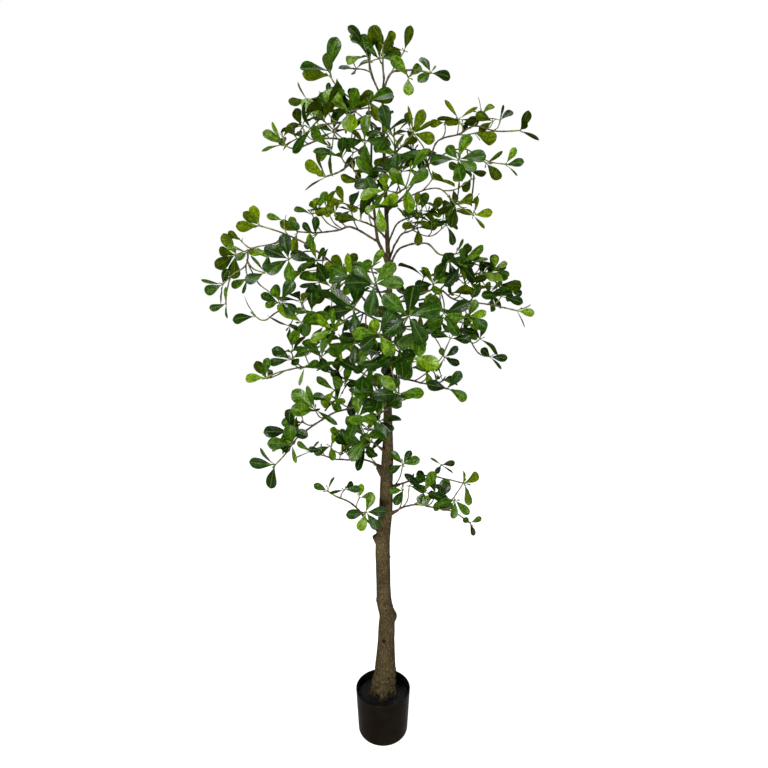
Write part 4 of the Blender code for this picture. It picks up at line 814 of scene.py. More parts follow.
class Clearing:
    """What has already grown, for keeping new shoots and leaves clear of it."""

    def __init__(self):
        self.taken = []

    def add(self, vertices, faces):
        self.taken.append(self.measure(vertices, faces))

    def free(self, vertices, faces):
        tree, low, high = self.measure(vertices, faces)
        for other, other_low, other_high in self.taken:
            apart = any(low[i] > other_high[i] or high[i] < other_low[i] for i in range(3))
            if not apart and tree.overlap(other):
                return False
        return True

    def measure(self, vertices, faces):
        low = [min(v[i] for v in vertices) for i in range(3)]
        high = [max(v[i] for v in vertices) for i in range(3)]
        return BVHTree.FromPolygons(vertices, faces), low, high


def grow_whorl(nodes, count, sides, draw, clearing):
    """The leaves at a shoot's end, each placed where it crosses nothing."""
    arrival = (nodes[-1] - nodes[-2]).normalized()
    outward = Vector((nodes[-1].x, nodes[-1].y, 0.0)).normalized()
    axis = arrival + outward * draw.uniform(*OUTWARD_SHARE) + UP * draw.uniform(*UPWARD_SHARE)
    axis = (axis + FRONT * draw.uniform(*FRONT_SHARE)).normalized()
    turn = draw.uniform(0.0, math.tau)
    hub = nodes[-1] + axis * (HUB_HEIGHT / 2.0)
    scale = draw.uniform(*WHORL_SCALE)
    whorl = (hub, axis, turn, sides)
    own = Clearing()
    leaves = []
    for index in range(count):
        side = round(index * sides / count) % sides
        even = math.tau * (index + 0.5) / count
        upright = count > 4 and index % 2 == 1
        for attempt in range(TRIES):
            lean = draw.uniform(*(UPRIGHT_LEAN if upright else LEAN))
            length = LEAF_LENGTH * scale * draw.uniform(*LEAF_SCALE) * (1.0 - SHRINK * attempt)
            if upright:
                length *= UPRIGHT_SCALE
            leaf = Leaf(
                side=side,
                heading=even + math.radians(draw.uniform(-UNEVEN, UNEVEN)),
                lean=math.radians(lean),
                bend=math.radians(draw.uniform(*BEND)),
                roll=math.radians(draw.uniform(*ROLL)),
                length=length,
                width=length * LEAF_WIDTH_RATIO * draw.uniform(*WIDTH_SCALE),
            )
            if has_room(whorl, leaf, clearing, own):
                leaves.append(leaf)
                own.add(*blade_solid(*whorl[:3], leaf, sides, 0.0, NECK_SHARE))
                break
    keep_clear(whorl, leaves, clearing)
    return axis, turn, leaves


print("tries for each leaf:", TRIES)

# %% [markdown]
# Two leaves of one whorl share the hub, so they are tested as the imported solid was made: one closed
# body whose hub has its sides drawn out into blades. That body may not cross itself anywhere.

# %% One whorl's body
def leafy_solid(shoot):
    """One shoot with its leaves as one closed solid, the leaves drawn out of its end band."""
    nodes = shoot.nodes + [shoot.nodes[-1] + shoot.axis * HUB_HEIGHT]
    radii = shoot.radii[:-1] + [HUB_RADIUS, HUB_RADIUS]
    sides = shoot.sides
    first = frame_round(shoot.axis, shoot.turn)[0]
    tangents = tangents_of(shoot.nodes, shoot.axis) + [shoot.axis]
    frames = tube_rings(nodes, tangents, first)
    vertices = []
    for node, radius, (one, two) in zip(nodes, radii, frames):
        for step in range(sides):
            angle = math.tau * step / sides
            vertices.append(node + (one * math.cos(angle) + two * math.sin(angle)) * radius)
    faces = [tuple(range(sides - 1, -1, -1))]
    taken = {leaf.side for leaf in shoot.leaves}
    last_band = len(nodes) - 2
    for band in range(len(nodes) - 1):
        low = band * sides
        for step in range(sides):
            after = (step + 1) % sides
            if band == last_band and step in taken:
                continue
            faces.append((low + step, low + after, low + sides + after, low + sides + step))
    faces.append(tuple(range((len(nodes) - 1) * sides, len(nodes) * sides)))
    hub = shoot.nodes[-1] + shoot.axis * (HUB_HEIGHT / 2.0)
    for leaf in shoot.leaves:
        low = last_band * sides
        after = (leaf.side + 1) % sides
        section = [low + leaf.side, low + after, low + sides + after, low + sides + leaf.side]
        add_blade(vertices, faces, section, hub, shoot, leaf)
    return vertices, faces


def add_blade(vertices, faces, section, hub, shoot, leaf):
    """Draws one blade out of a four-cornered root, alike above and below, to a point."""
    stations = [place for place, share in BLADE_STATIONS] + [1.0]
    frames = leaf_frames(hub, shoot.axis, shoot.turn, leaf, shoot.sides, stations)
    for (centre, sideways, upward), (place, share) in zip(frames, BLADE_STATIONS):
        start = len(vertices)
        half = sideways * (leaf.width * share / 2.0)
        vertices += section_at(centre, half, upward * (LEAF_THICKNESS / 2.0))
        faces += loft(section, start)
        section = [start, start + 1, start + 2, start + 3]
    tip = len(vertices)
    vertices.append(frames[-1][0])
    for step in range(4):
        faces.append((section[step], section[(step + 1) % 4], tip))


print("points in a blade:", 4 * len(BLADE_STATIONS) + 1)

# %% [markdown]
# Where the photograph shows a whorl clearly, its leaves point to the hours that were read from it.
# An hour says nothing about depth, so each leaf also leans towards the viewer or away by chance, and
# turns its nearer face to the front as far as its foot allows.

# %% Leaves by the clock
CLOCK_SIDES = 6
CLOCK_TRIES = 48
LOOSER_AFTER = 12
CLOCK_UNEVEN = 0.2
CLOCK_TILT = (-20, 35)
CLOCK_FRONT = (0.5, 1.4)
CLOCK_BACKWARD = (-1.3, -0.3)
CLOCK_WIDTH_RATIO = 0.50
CLOCK_LEAN = (10, 130)
CLOCK_BACK = 30
CLOCK_SHRINKS = 5
CLOCK_SCALE = (0.94, 1.06)
FACING = 0.75
MOST_TURN = math.radians(55)
EYE_HEIGHT = 1.45
BACKWARD_CHANCE = 0.65
SLIM = 0.42


def clock_direction(hour, tilt):
    """The direction of an hour on a clock that faces the front, tilted towards the front."""
    angle = math.tau * hour / 12.0
    flat = Vector((math.sin(angle), 0.0, math.cos(angle)))
    return flat * math.cos(tilt) + FRONT * math.sin(tilt)


def heading_round(direction, axis, turn):
    """The angle of a direction round a hub's axis."""
    first, second = frame_round(axis, turn)
    return math.atan2(direction.dot(second), direction.dot(first)) % math.tau


def seats_round(headings):
    """The leaves in order round the hub from the widest gap on, each with its side of the hub."""
    order = sorted(range(len(headings)), key=lambda index: headings[index])
    gaps = []
    for place, index in enumerate(order):
        gaps.append((headings[index] - headings[order[place - 1]]) % math.tau)
    widest = gaps.index(max(gaps))
    order = order[widest:] + order[:widest]
    seats = []
    side = -1
    for place, index in enumerate(order):
        offset = (headings[index] - headings[order[0]]) % math.tau
        last = CLOCK_SIDES - len(order) + place
        side = min(max(side + 1, round(offset * CLOCK_SIDES / math.tau)), last)
        seats.append((index, side))
    return seats


def roll_to_front(ahead, axis):
    """The roll that turns a leaf's nearer face towards the front, as far as its foot can twist."""
    outward = (ahead - axis * ahead.dot(axis)).normalized()
    face = ahead.cross(axis.cross(outward))
    wanted = FRONT - ahead * FRONT.dot(ahead)
    if face.dot(wanted) < 0.0:
        wanted = -wanted
    angle = math.atan2(ahead.dot(face.cross(wanted)), face.dot(wanted))
    return max(-MOST_TURN, min(MOST_TURN, angle * FACING))


def crosses_itself(shoot):
    """True where two faces of a shoot's closed solid cross that share no corner."""
    vertices, faces = leafy_solid(shoot)
    tree = BVHTree.FromPolygons(vertices, faces)
    return any(not set(faces[one]) & set(faces[two]) for one, two in tree.overlap(tree))


def has_room(whorl, leaf, clearing, own):
    """True where a leaf clears all that grew before and, past its neck, its own whorl's leaves."""
    whole = blade_solid(*whorl[:3], leaf, whorl[3], LEAF_CLEAR, FOOT_SHARE)
    blade = blade_solid(*whorl[:3], leaf, whorl[3], LEAF_CLEAR, NECK_SHARE)
    return clearing.free(*whole) and own.free(*blade)


def keep_clear(whorl, leaves, clearing):
    """Notes a finished whorl's leaves, for the whorls that grow later."""
    for leaf in leaves:
        clearing.add(*blade_solid(*whorl[:3], leaf, whorl[3], 0.0, FOOT_SHARE))


def grow_clock_whorl(nodes, radii, clock, draw, clearing):
    """The leaves at a shoot's end, each pointing to its hour where it crosses nothing."""
    size, *hours = clock
    arrival = (nodes[-1] - nodes[-2]).normalized()
    backward = nodes[-1].z > EYE_HEIGHT and draw.random() < BACKWARD_CHANCE
    axis = arrival + UP * draw.uniform(*UPWARD_SHARE)
    axis = axis + FRONT * draw.uniform(*(CLOCK_BACKWARD if backward else CLOCK_FRONT))
    axis = axis.normalized()
    hub = nodes[-1] + axis * (HUB_HEIGHT / 2.0)
    headings = [heading_round(clock_direction(abs(hour), 0.0), axis, 0.0) for hour in hours]
    seats = seats_round(headings)
    turn = headings[seats[0][0]] - math.pi / CLOCK_SIDES
    whorl = (hub, axis, turn, CLOCK_SIDES)
    own = Clearing()
    leaves = []
    for index, side in seats:
        for attempt in range(CLOCK_TRIES):
            patience = 1.0 - attempt / CLOCK_TRIES
            looser = 1.0 + attempt / LOOSER_AFTER
            hour = abs(hours[index]) + draw.uniform(-CLOCK_UNEVEN, CLOCK_UNEVEN) * looser
            ahead = clock_direction(hour, math.radians(draw.uniform(*CLOCK_TILT) * looser))
            bend = math.radians(draw.uniform(*BEND))
            shrink = 1.0 - SHRINK * min(attempt, CLOCK_SHRINKS)
            length = LEAF_LENGTH * size / 100.0 * draw.uniform(*CLOCK_SCALE) * shrink
            width = length * CLOCK_WIDTH_RATIO * draw.uniform(*WIDTH_SCALE)
            roll = math.radians(draw.uniform(*ROLL))
            if hours[index] > 0:
                roll = roll / 2.0 + roll_to_front(ahead, axis) * patience
            leaf = Leaf(
                side=side,
                heading=heading_round(ahead, axis, turn),
                lean=ahead.angle(axis) - bend / 2.0,
                bend=bend,
                roll=roll,
                length=length,
                width=width * SLIM if hours[index] < 0 else width,
            )
            low, high = CLOCK_LEAN
            if not low <= math.degrees(ahead.angle(axis)) <= high:
                continue
            if math.degrees(ahead.angle(-arrival)) < CLOCK_BACK:
                continue
            shoot = Shoot(nodes, radii, CLOCK_SIDES, axis, turn, leaves + [leaf])
            if has_room(whorl, leaf, clearing, own) and not crosses_itself(shoot):
                leaves.append(leaf)
                own.add(*blade_solid(*whorl[:3], leaf, CLOCK_SIDES, 0.0, NECK_SHARE))
                break
    keep_clear(whorl, leaves, clearing)
    return axis, turn, leaves


print("whorls set by the clock:", sum(len(clocks) for clocks in CLOCKS.values()))

# %% [markdown]
# The order of growth decides who gets the room. All the wood comes first, as on the real tree, then
# the leaves of the main twigs, and the extra twigs last, so that they never push a main leaf aside.

# %% Grow the tree
LIMB_SIDES = 4
LIMB_ROOT_RADIUS = 0.0036
LIMB_TIP_RADIUS = 0.0023
TWIG_ROOT_RADIUS = 0.0019
TWIG_TIP_RADIUS = 0.0017
END_LEAVES = 3


def tapering(nodes, root, tip):
    """Radii that run evenly from root to tip."""
    count = len(nodes) - 1
    return [root + (tip - root) * index / count for index in range(count + 1)]


def side_twig(limb, mark, count, points, paths):
    """The route, radii, sides and number of leaves of one of a limb's side twigs."""
    nodes = twig_nodes(paths, points, random.Random(limb.name + " twig " + str(mark)))
    return nodes, tapering(nodes, TWIG_ROOT_RADIUS, TWIG_TIP_RADIUS), count, count


def leafy_shoot(limb, mark, plan, clearing, clock=()):
    """One shoot with the leaves that found room at its end. Its mark seeds its own random numbers."""
    nodes, radii, sides, count = plan
    draw = random.Random(limb.name + " whorl " + str(mark))
    if clock:
        axis, turn, leaves = grow_clock_whorl(nodes, radii, clock, draw, clearing)
        return Shoot(nodes, radii, CLOCK_SIDES, axis, turn, leaves)
    axis, turn, leaves = grow_whorl(nodes, count, sides, draw, clearing)
    return Shoot(nodes, radii, sides, axis, turn, leaves)


def grow_tree():
    """Every limb's shoots: all the woody routes first, then their leaves, then the extra twigs."""
    clearing = Clearing()
    for part in trunk_parts():
        clearing.add(*part)
    plans = []
    for limb in LIMBS:
        nodes = limb_nodes(limb, random.Random(limb.name))
        paths = [nodes]
        woody = [(nodes, tapering(nodes, LIMB_ROOT_RADIUS, LIMB_TIP_RADIUS), LIMB_SIDES, END_LEAVES)]
        for index, (count, points) in enumerate(limb.twigs):
            woody.append(side_twig(limb, index, count, points, paths))
            if len(points) > 1:
                paths.append(woody[-1][0])
        plans.append((limb, paths, woody))
    for limb, paths, woody in plans:
        for nodes, radii, sides, count in woody:
            clearing.add(*build_tube(nodes, radii, LIMB_SIDES))
    tree = {}
    for limb, paths, woody in plans:
        clocks = CLOCKS.get(limb.name, {})
        tree[limb.name] = [leafy_shoot(limb, index, plan, clearing, clocks.get(index, ()))
                           for index, plan in enumerate(woody)]
    for limb, paths, woody in plans:
        for leaves, *place in EXTRA_TWIGS.get(limb.name, []):
            clock = leaves if isinstance(leaves, tuple) else ()
            count = CLOCK_SIDES if clock else leaves
            place = tuple(place)
            plan = side_twig(limb, place, count, [place], paths)
            clearing.add(*build_tube(plan[0], plan[1], LIMB_SIDES))
            tree[limb.name].append(leafy_shoot(limb, place, plan, clearing, clock))
    return tree


tree = grow_tree()
print("shoots", sum(len(shoots) for shoots in tree.values()),
      "leaves", sum(len(shoot.leaves) for shoots in tree.values() for shoot in shoots))

# %% [markdown]
# ## Shared pattern groups
# Bark, twigs, leaves, gravel and plastic all need the same few effects: broad uneven patches, a
# fine speckle, and a height for the bumps. Each effect is made once as a node group and placed in
# every material with its own values. The groups read the object's own coordinates, which are the
# tree's real metres, so a scale of 100 always means a grain of about a centimetre.

# %% Node helpers
def new_group(name, inputs, outputs):
    """An empty shader node group with named sockets, and its two end nodes."""
    group = bpy.data.node_groups.new(name, "ShaderNodeTree")
    for label, kind, value in inputs:
        socket = group.interface.new_socket(name=label, in_out="INPUT", socket_type=kind)
        if value is not None:
            socket.default_value = value
    for label, kind in outputs:
        group.interface.new_socket(name=label, in_out="OUTPUT", socket_type=kind)
    return group, group.nodes.new("NodeGroupInput"), group.nodes.new("NodeGroupOutput")


def feed(tree, socket, value):
    """Gives a socket a number, a colour or a link from another socket."""
    if isinstance(value, tuple):
        socket.default_value = (*value, 1.0)
    elif isinstance(value, (int, float)):
        socket.default_value = value
    elif value is not None:
        tree.links.new(value, socket)


def noise_node(tree, coordinates, scale, detail, roughness=0.5):
    """A noise texture, with its scale given as a number or a socket."""
    node = tree.nodes.new("ShaderNodeTexNoise")
    labels = ("Vector", "Scale", "Detail", "Roughness")
    for label, value in zip(labels, (coordinates, scale, detail, roughness)):
        feed(tree, node.inputs[label], value)
    return node.outputs["Fac"]


def calculate(tree, operation, first, second=None, clamp=False):
    """One step of arithmetic between sockets or numbers."""
    node = tree.nodes.new("ShaderNodeMath")
    node.operation = operation
    node.use_clamp = clamp
    feed(tree, node.inputs[0], first)
    feed(tree, node.inputs[1], second)
    return node.outputs["Value"]


def faded(tree, pattern, most):
    """A pattern that counts for a part of its strength only."""
    return calculate(tree, "MULTIPLY", pattern, most)


def spread(tree, value, low, high, to_low=0.0, to_high=1.0):
    """Stretches a part of a value's range to another range, smoothly."""
    node = tree.nodes.new("ShaderNodeMapRange")
    node.interpolation_type = "SMOOTHSTEP"
    labels = ("Value", "From Min", "From Max", "To Min", "To Max")
    for label, given in zip(labels, (value, low, high, to_low, to_high)):
        feed(tree, node.inputs[label], given)
    return node.outputs["Result"]


def blend_colours(tree, share, first, second):
    """Mixes two colours, each given as a socket or as red, green and blue."""
    node = tree.nodes.new("ShaderNodeMix")
    node.data_type = "RGBA"
    for socket, value in (("Factor", share), (6, first), (7, second)):
        feed(tree, node.inputs[socket], value)
    return node.outputs[2]


def painted_over(tree, colour, layers):
    """A colour with other colours laid over it in turn, each where its own pattern shows."""
    for pattern, layer in layers:
        colour = blend_colours(tree, pattern, colour, layer)
    return colour


def stored(tree, name):
    """The node that reads what was stored on a mesh under a name."""
    node = tree.nodes.new("ShaderNodeAttribute")
    node.attribute_name = name
    return node


def rise_of(tree, position):
    """The height above the floor."""
    node = tree.nodes.new("ShaderNodeSeparateXYZ")
    tree.links.new(position, node.inputs["Vector"])
    return node.outputs["Z"]


def place_group(tree, group, links=(), **values):
    """Puts a group in a material, with its links and values."""
    node = tree.nodes.new("ShaderNodeGroup")
    node.node_tree = group
    for label, value in values.items():
        node.inputs[label.replace("_", " ")].default_value = value
    for label, socket in links:
        tree.links.new(socket, node.inputs[label])
    return node


print("node groups so far:", len(bpy.data.node_groups))

# %% Speckle group
def make_speckle():
    """Broad patches and a fine grain, for any surface that isn't quite even."""
    group, given, made = new_group(
        "uneven speckle",
        [("Position", "NodeSocketVector", None), ("Patch Scale", "NodeSocketFloat", 20.0),
         ("Grain Scale", "NodeSocketFloat", 300.0)],
        [("Patches", "NodeSocketFloat"), ("Grain", "NodeSocketFloat")])
    patches = noise_node(group, given.outputs["Position"], given.outputs["Patch Scale"], 3.0)
    grain = noise_node(group, given.outputs["Position"], given.outputs["Grain Scale"], 2.0, 0.6)
    group.links.new(spread(group, patches, 0.35, 0.65), made.inputs["Patches"])
    group.links.new(spread(group, grain, 0.30, 0.70), made.inputs["Grain"])
    return group


speckle_group = make_speckle()
print("group:", speckle_group.name, [item.name for item in speckle_group.interface.items_tree])

# %% [markdown]
# Wood has two more marks: short fissures that run along the grain, and pale flecks where the
# surface has flaked. Both come from cell textures stretched along the tree's height.

# %% Bark group
def make_bark_group():
    """Fissures, flecks and a height for bark. Stretch lengthens the marks along the height."""
    group, given, made = new_group(
        "bark marks",
        [("Position", "NodeSocketVector", None), ("Cell Scale", "NodeSocketFloat", 120.0),
         ("Stretch", "NodeSocketFloat", 0.35)],
        [("Fissures", "NodeSocketFloat"), ("Flecks", "NodeSocketFloat"), ("Height", "NodeSocketFloat")])
    squeeze = group.nodes.new("ShaderNodeCombineXYZ")
    for axis, value in (("X", 1.0), ("Y", 1.0), ("Z", given.outputs["Stretch"])):
        feed(group, squeeze.inputs[axis], value)
    stretched = group.nodes.new("ShaderNodeVectorMath")
    stretched.operation = "MULTIPLY"
    group.links.new(given.outputs["Position"], stretched.inputs[0])
    group.links.new(squeeze.outputs["Vector"], stretched.inputs[1])
    wander = group.nodes.new("ShaderNodeTexNoise")
    wander.inputs["Scale"].default_value = 60.0
    group.links.new(stretched.outputs["Vector"], wander.inputs["Vector"])
    bent = group.nodes.new("ShaderNodeVectorMath")
    bent.operation = "MULTIPLY_ADD"
    bent.inputs[1].default_value = (0.012, 0.012, 0.012)
    group.links.new(wander.outputs["Color"], bent.inputs[0])
    group.links.new(stretched.outputs["Vector"], bent.inputs[2])
    cells = group.nodes.new("ShaderNodeTexVoronoi")
    cells.feature = "DISTANCE_TO_EDGE"
    group.links.new(bent.outputs["Vector"], cells.inputs["Vector"])
    group.links.new(given.outputs["Cell Scale"], cells.inputs["Scale"])
    fissures = spread(group, cells.outputs["Distance"], 0.02, 0.16, 1.0, 0.0)
    fine = noise_node(group, bent.outputs["Vector"], 420.0, 3.0, 0.65)
    flecks = spread(group, fine, 0.54, 0.68)
    raised = calculate(group, "MULTIPLY", fine, 0.6)
    height = calculate(group, "SUBTRACT", raised, fissures)
    for label, value in (("Fissures", fissures), ("Flecks", flecks), ("Height", height)):
        group.links.new(value, made.inputs[label])
    return group


bark_group = make_bark_group()
print("group:", bark_group.name)

# %% [markdown]
# Every finish starts the same way: a Principled shader, the tree's own coordinates and the uneven
# speckle at two scales of its own. One function makes that start, and the others add their colours.

# %% Starting a material
def start_material(name, patch_scale, grain_scale):
    """A material, its node tree and shader, the tree's coordinates, and its patches and grain."""
    material = bpy.data.materials.new(name)
    material.use_nodes = True
    tree = material.node_tree
    shader = tree.nodes["Principled BSDF"]
    position = tree.nodes.new("ShaderNodeTexCoord").outputs["Object"]
    speckle = place_group(tree, speckle_group, [("Position", position)],
                          Patch_Scale=patch_scale, Grain_Scale=grain_scale)
    return material, tree, shader, position, speckle.outputs["Patches"], speckle.outputs["Grain"]


def finish_surface(tree, shader, colour, roughness, mirror):
    """Gives a shader its colour, its roughness and how much it mirrors."""
    feed(tree, shader.inputs["Base Color"], colour)
    feed(tree, shader.inputs["Roughness"], roughness)
    shader.inputs["Specular IOR Level"].default_value = mirror


def add_bump(tree, shader, height, distance, strength=1.0):
    """Raises the surface by a height pattern, distance metres at most."""
    bump = tree.nodes.new("ShaderNodeBump")
    bump.inputs["Distance"].default_value = distance
    bump.inputs["Strength"].default_value = strength
    tree.links.new(height, bump.inputs["Height"])
    tree.links.new(bump.outputs["Normal"], shader.inputs["Normal"])


print("materials so far:", [material.name for material in bpy.data.materials])

# %% [markdown]
# ## The pot
# On the real tree this is a thin black grower's pot: a nearly straight side, a rounded bottom
# corner and a plain rim. A turned profile gives all of that in one go. The steps are close
# together, so the side reads as one smooth curve, and the rim's edge is rounded enough to catch
# a thin line of light. The flat base is recessed inside a foot ring, as moulded pots are.

# %% Pot shape
POT_TURNS = 96
POT_SIDE_TOP = POT_HEIGHT - 0.004
POT_SIDE_STEPS = 11
CORNER_STEPS = 8
RIM_STEPS = 6
FOOT_RING = 0.004
FOOT_RECESS = 0.0012


def pot_radius(height):
    """Outer radius of the pot's side at a height."""
    return POT_BASE_RADIUS + (POT_RIM_RADIUS - POT_BASE_RADIUS) * height / POT_HEIGHT


def pot_profile():
    """Radius and height, from the middle of the base round the outside, the rim and the inside."""
    corner = pot_radius(POT_CORNER) - POT_CORNER
    line = [(0.0, FOOT_RECESS), (corner - 2.0 * FOOT_RING, FOOT_RECESS),
            (corner - 1.5 * FOOT_RING, 0.0), (corner, 0.0)]
    for step in range(1, CORNER_STEPS + 1):
        angle = math.radians(90.0 * step / CORNER_STEPS)
        line.append((corner + POT_CORNER * math.sin(angle), POT_CORNER * (1.0 - math.cos(angle))))
    heights = [POT_CORNER + (POT_SIDE_TOP - POT_CORNER) * step / POT_SIDE_STEPS
               for step in range(POT_SIDE_STEPS + 1)]
    line += [(pot_radius(height), height) for height in heights[1:]]
    half = POT_WALL / 2.0
    for step in range(RIM_STEPS + 1):
        angle = math.pi * step / RIM_STEPS
        line.append((POT_RIM_RADIUS - half + math.cos(angle) * half,
                     POT_HEIGHT - half + math.sin(angle) * half))
    line += [(pot_radius(height) - POT_WALL, height) for height in reversed(heights)]
    return line + [(corner, POT_WALL), (0.0, POT_WALL)]


def turned(profile, turns):
    """Vertices and faces of a profile turned round the upright axis."""
    vertices = []
    rings = []
    for radius, height in profile:
        if radius == 0.0:
            rings.append([len(vertices)] * turns)
            vertices.append((0.0, 0.0, height))
            continue
        rings.append(range(len(vertices), len(vertices) + turns))
        for step in range(turns):
            angle = math.tau * step / turns
            vertices.append((radius * math.cos(angle), radius * math.sin(angle), height))
    faces = []
    for lower, upper in zip(rings, rings[1:]):
        for step in range(turns):
            after = (step + 1) % turns
            corners = [lower[step], lower[after], upper[after], upper[step]]
            faces.append(tuple(dict.fromkeys(corners)))
    return vertices, faces


def append_body(vertices, faces, more_vertices, more_faces):
    """Adds a body's vertices and faces to longer lists, with its faces renumbered."""
    start = len(vertices)
    vertices += more_vertices
    faces += [tuple(start + index for index in face) for face in more_faces]


def store(mesh, name, values):
    """Keeps one number for each point of a mesh, for a material to read."""
    numbers = mesh.attributes.new(name, "FLOAT", "POINT")
    numbers.data.foreach_set("value", np.array(values, np.float32))


def add_piece(name, vertices, faces, material, replaced, edge=40.0):
    """A smooth-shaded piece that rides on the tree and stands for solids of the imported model."""
    mesh = bpy.data.meshes.new(name)
    mesh.from_pydata([tuple(vertex) for vertex in vertices], [], faces)
    mesh.materials.append(material)
    mesh.shade_smooth()
    mesh.set_sharp_from_angle(angle=math.radians(edge))
    piece = bpy.data.objects.new(name, mesh)
    bpy.context.scene.collection.objects.link(piece)
    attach(piece, "root")
    if replaced:
        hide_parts(*replaced)
    return piece


# %% [markdown]
# The plastic is nearly black with a touch of brown, smooth but without a strong mirror, with a faint
# waviness from the mould and a little dust towards its foot. Its sheen comes from roughness, not
# from painted light.

# %% Pot material
def make_pot_material():
    """Black moulded plastic with a faint waviness and dust near its foot."""
    material, tree, shader, position, patches, grain = start_material("pot plastic", 28.0, 700.0)
    low = spread(tree, rise_of(tree, position), 0.0, 0.05, 1.0, 0.0)
    dust = faded(tree, calculate(tree, "MULTIPLY", low, patches), 0.08)
    colour = painted_over(tree, (0.0036, 0.0023, 0.0012), [
        (patches, (0.0050, 0.0033, 0.0017)),
        (dust, (0.030, 0.025, 0.018)),
    ])
    finish_surface(tree, shader, colour, spread(tree, patches, 0.0, 1.0, 0.20, 0.32), 0.05)
    both = calculate(tree, "ADD", noise_node(tree, position, 30.0, 1.0), faded(tree, grain, 0.12))
    add_bump(tree, shader, both, 0.0006, 0.6)
    return material


pot_vertices, pot_faces = turned(pot_profile(), POT_TURNS)
pot = add_piece("pot_shell", pot_vertices, pot_faces, make_pot_material(), ["pot"])
print("pot", [round(size, 3) for size in pot.dimensions], len(pot.data.polygons), "faces")

# %% [markdown]
# ## Cement and gravel
# The pot holds a cast cement plug, which nobody sees, and on it a dressing of small dark stones.
# A bumpy material alone would look like a carpet at the pot's rim, where the eye sees the stones
# from the side. So the packed gravel bed stays as the bed, and loose stones are strewn on it: each
# is a small rounded body with its own size and turn, kept clear of the trunk and the wall.

# %% Cement and gravel materials
STONE_DARK = (0.003, 0.003, 0.003)


def make_cement():
    """Pale cast cement with pores."""
    material, tree, shader, position, patches, grain = start_material("cement", 35.0, 900.0)
    colour = blend_colours(tree, patches, (0.24, 0.23, 0.21), (0.36, 0.35, 0.32))
    finish_surface(tree, shader, colour, 0.92, 0.5)
    add_bump(tree, shader, grain, 0.0005)
    return material


def make_gravel(name, pale):
    """Dark crushed stone, mottled with a paler tone by a cell pattern."""
    material, tree, shader, position, patches, grain = start_material(name, 90.0, 1500.0)
    cells = tree.nodes.new("ShaderNodeTexVoronoi")
    cells.inputs["Scale"].default_value = 330.0
    tree.links.new(position, cells.inputs["Vector"])
    colour = painted_over(tree, STONE_DARK, [(cells.outputs["Distance"], pale), (grain, STONE_DARK)])
    finish_surface(tree, shader, colour, spread(tree, patches, 0.0, 1.0, 0.62, 0.85), 0.15)
    add_bump(tree, shader, grain, 0.0004)
    return material


carried_over = {"pot_weight": make_cement(), "gravel_bed": make_gravel("gravel bed", (0.009, 0.009, 0.010))}
for name, material in carried_over.items():
    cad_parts[name].data.materials.clear()
    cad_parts[name].data.materials.append(material)
print("carried over:", list(carried_over))

# %% [markdown]
# The stones have to keep clear of the roots, so the flare's outline comes first. The photograph shows
# round roots with sharp valleys between them. A wave round the trunk would make them all alike, so
# each root is listed on its own and bulges like a parabola.

# %% Root flare
# The roots of the flare, read from the photograph: heading in degrees from the tree's right-hand
# side, reach as a share of the trunk's radius, and half the width in degrees.
ROOTS = [(-94, 0.22, 30), (-176, 0.32, 36), (-8, 0.30, 34), (48, 0.24, 34), (115, 0.26, 40)]
ROOT_VALLEY = 0.62


def root_lobes(height, angle):
    """How far the flare reaches at an angle, as a share of the trunk's radius. It fades out upwards."""
    fade = max(0.0, 1.0 - (height - GRAVEL_TOP) / FLARE_FADE)
    reach = 0.0
    for heading, out, half in ROOTS:
        off = (math.degrees(angle) - heading + 180.0) % 360.0 - 180.0
        reach = max(reach, out * (1.0 - (off / half) ** 2))
    return 1.0 + fade * (ROOT_VALLEY + reach - 1.0)


print("the front root reaches", round(root_lobes(GRAVEL_TOP, math.radians(ROOTS[0][0])), 2), "radii")

# %% [markdown]
# Real stones lie side by side and sink a little into the bed. A physics run could settle them, but
# a spot that is simply kept clear of its neighbours looks the same from above and never slides.

# %% Loose stones
STONE_COUNT = 950
STONE_TRIES = 12
STONE_SIZE = (0.0013, 0.0028)
STONE_INNER_RADIUS = 0.034
STONE_CLEARANCE = 0.75
STONE_SINK = (-0.0014, 0.0006)
STONE_BREADTH = (0.65, 1.0)
STONE_FLATNESS = (0.55, 0.9)
STONE_ROUGHNESS = (0.82, 1.08)


def stone_body():
    """The vertices and faces of a small round body."""
    work = bmesh.new()
    bmesh.ops.create_icosphere(work, subdivisions=1, radius=1.0)
    vertices = [vertex.co.copy() for vertex in work.verts]
    faces = [tuple(vertex.index for vertex in face.verts) for face in work.faces]
    work.free()
    return vertices, faces


def strew_stones():
    """Stones spread over the bed, each kept clear of the roots, the wall and the other stones."""
    draw = random.Random(23)
    body, body_faces = stone_body()
    wall = pot_radius(GRAVEL_TOP) - POT_WALL
    vertices, faces, places = [], [], []
    for attempt in range(STONE_COUNT * STONE_TRIES):
        if len(places) == STONE_COUNT:
            break
        size = draw.uniform(*STONE_SIZE)
        radius = math.sqrt(draw.uniform(STONE_INNER_RADIUS ** 2, (wall - size) ** 2))
        angle = draw.uniform(0.0, math.tau)
        spot = Vector((radius * math.cos(angle), radius * math.sin(angle), 0.0))
        if radius < FLARE_RADIUS * root_lobes(GRAVEL_TOP, angle) + size:
            continue
        if any((spot - other).length < STONE_CLEARANCE * (size + reach) for other, reach in places):
            continue
        places.append((spot.copy(), size))
        spot.z = GRAVEL_TOP + draw.uniform(*STONE_SINK)
        turn = Quaternion([draw.gauss(0, 1) for part in range(4)]).normalized()
        shape = Vector((size, size * draw.uniform(*STONE_BREADTH), size * draw.uniform(*STONE_FLATNESS)))
        rough = [corner * draw.uniform(*STONE_ROUGHNESS) for corner in body]
        append_body(vertices, faces, [spot + turn @ (corner * shape) for corner in rough], body_faces)
    return vertices, faces, len(places)


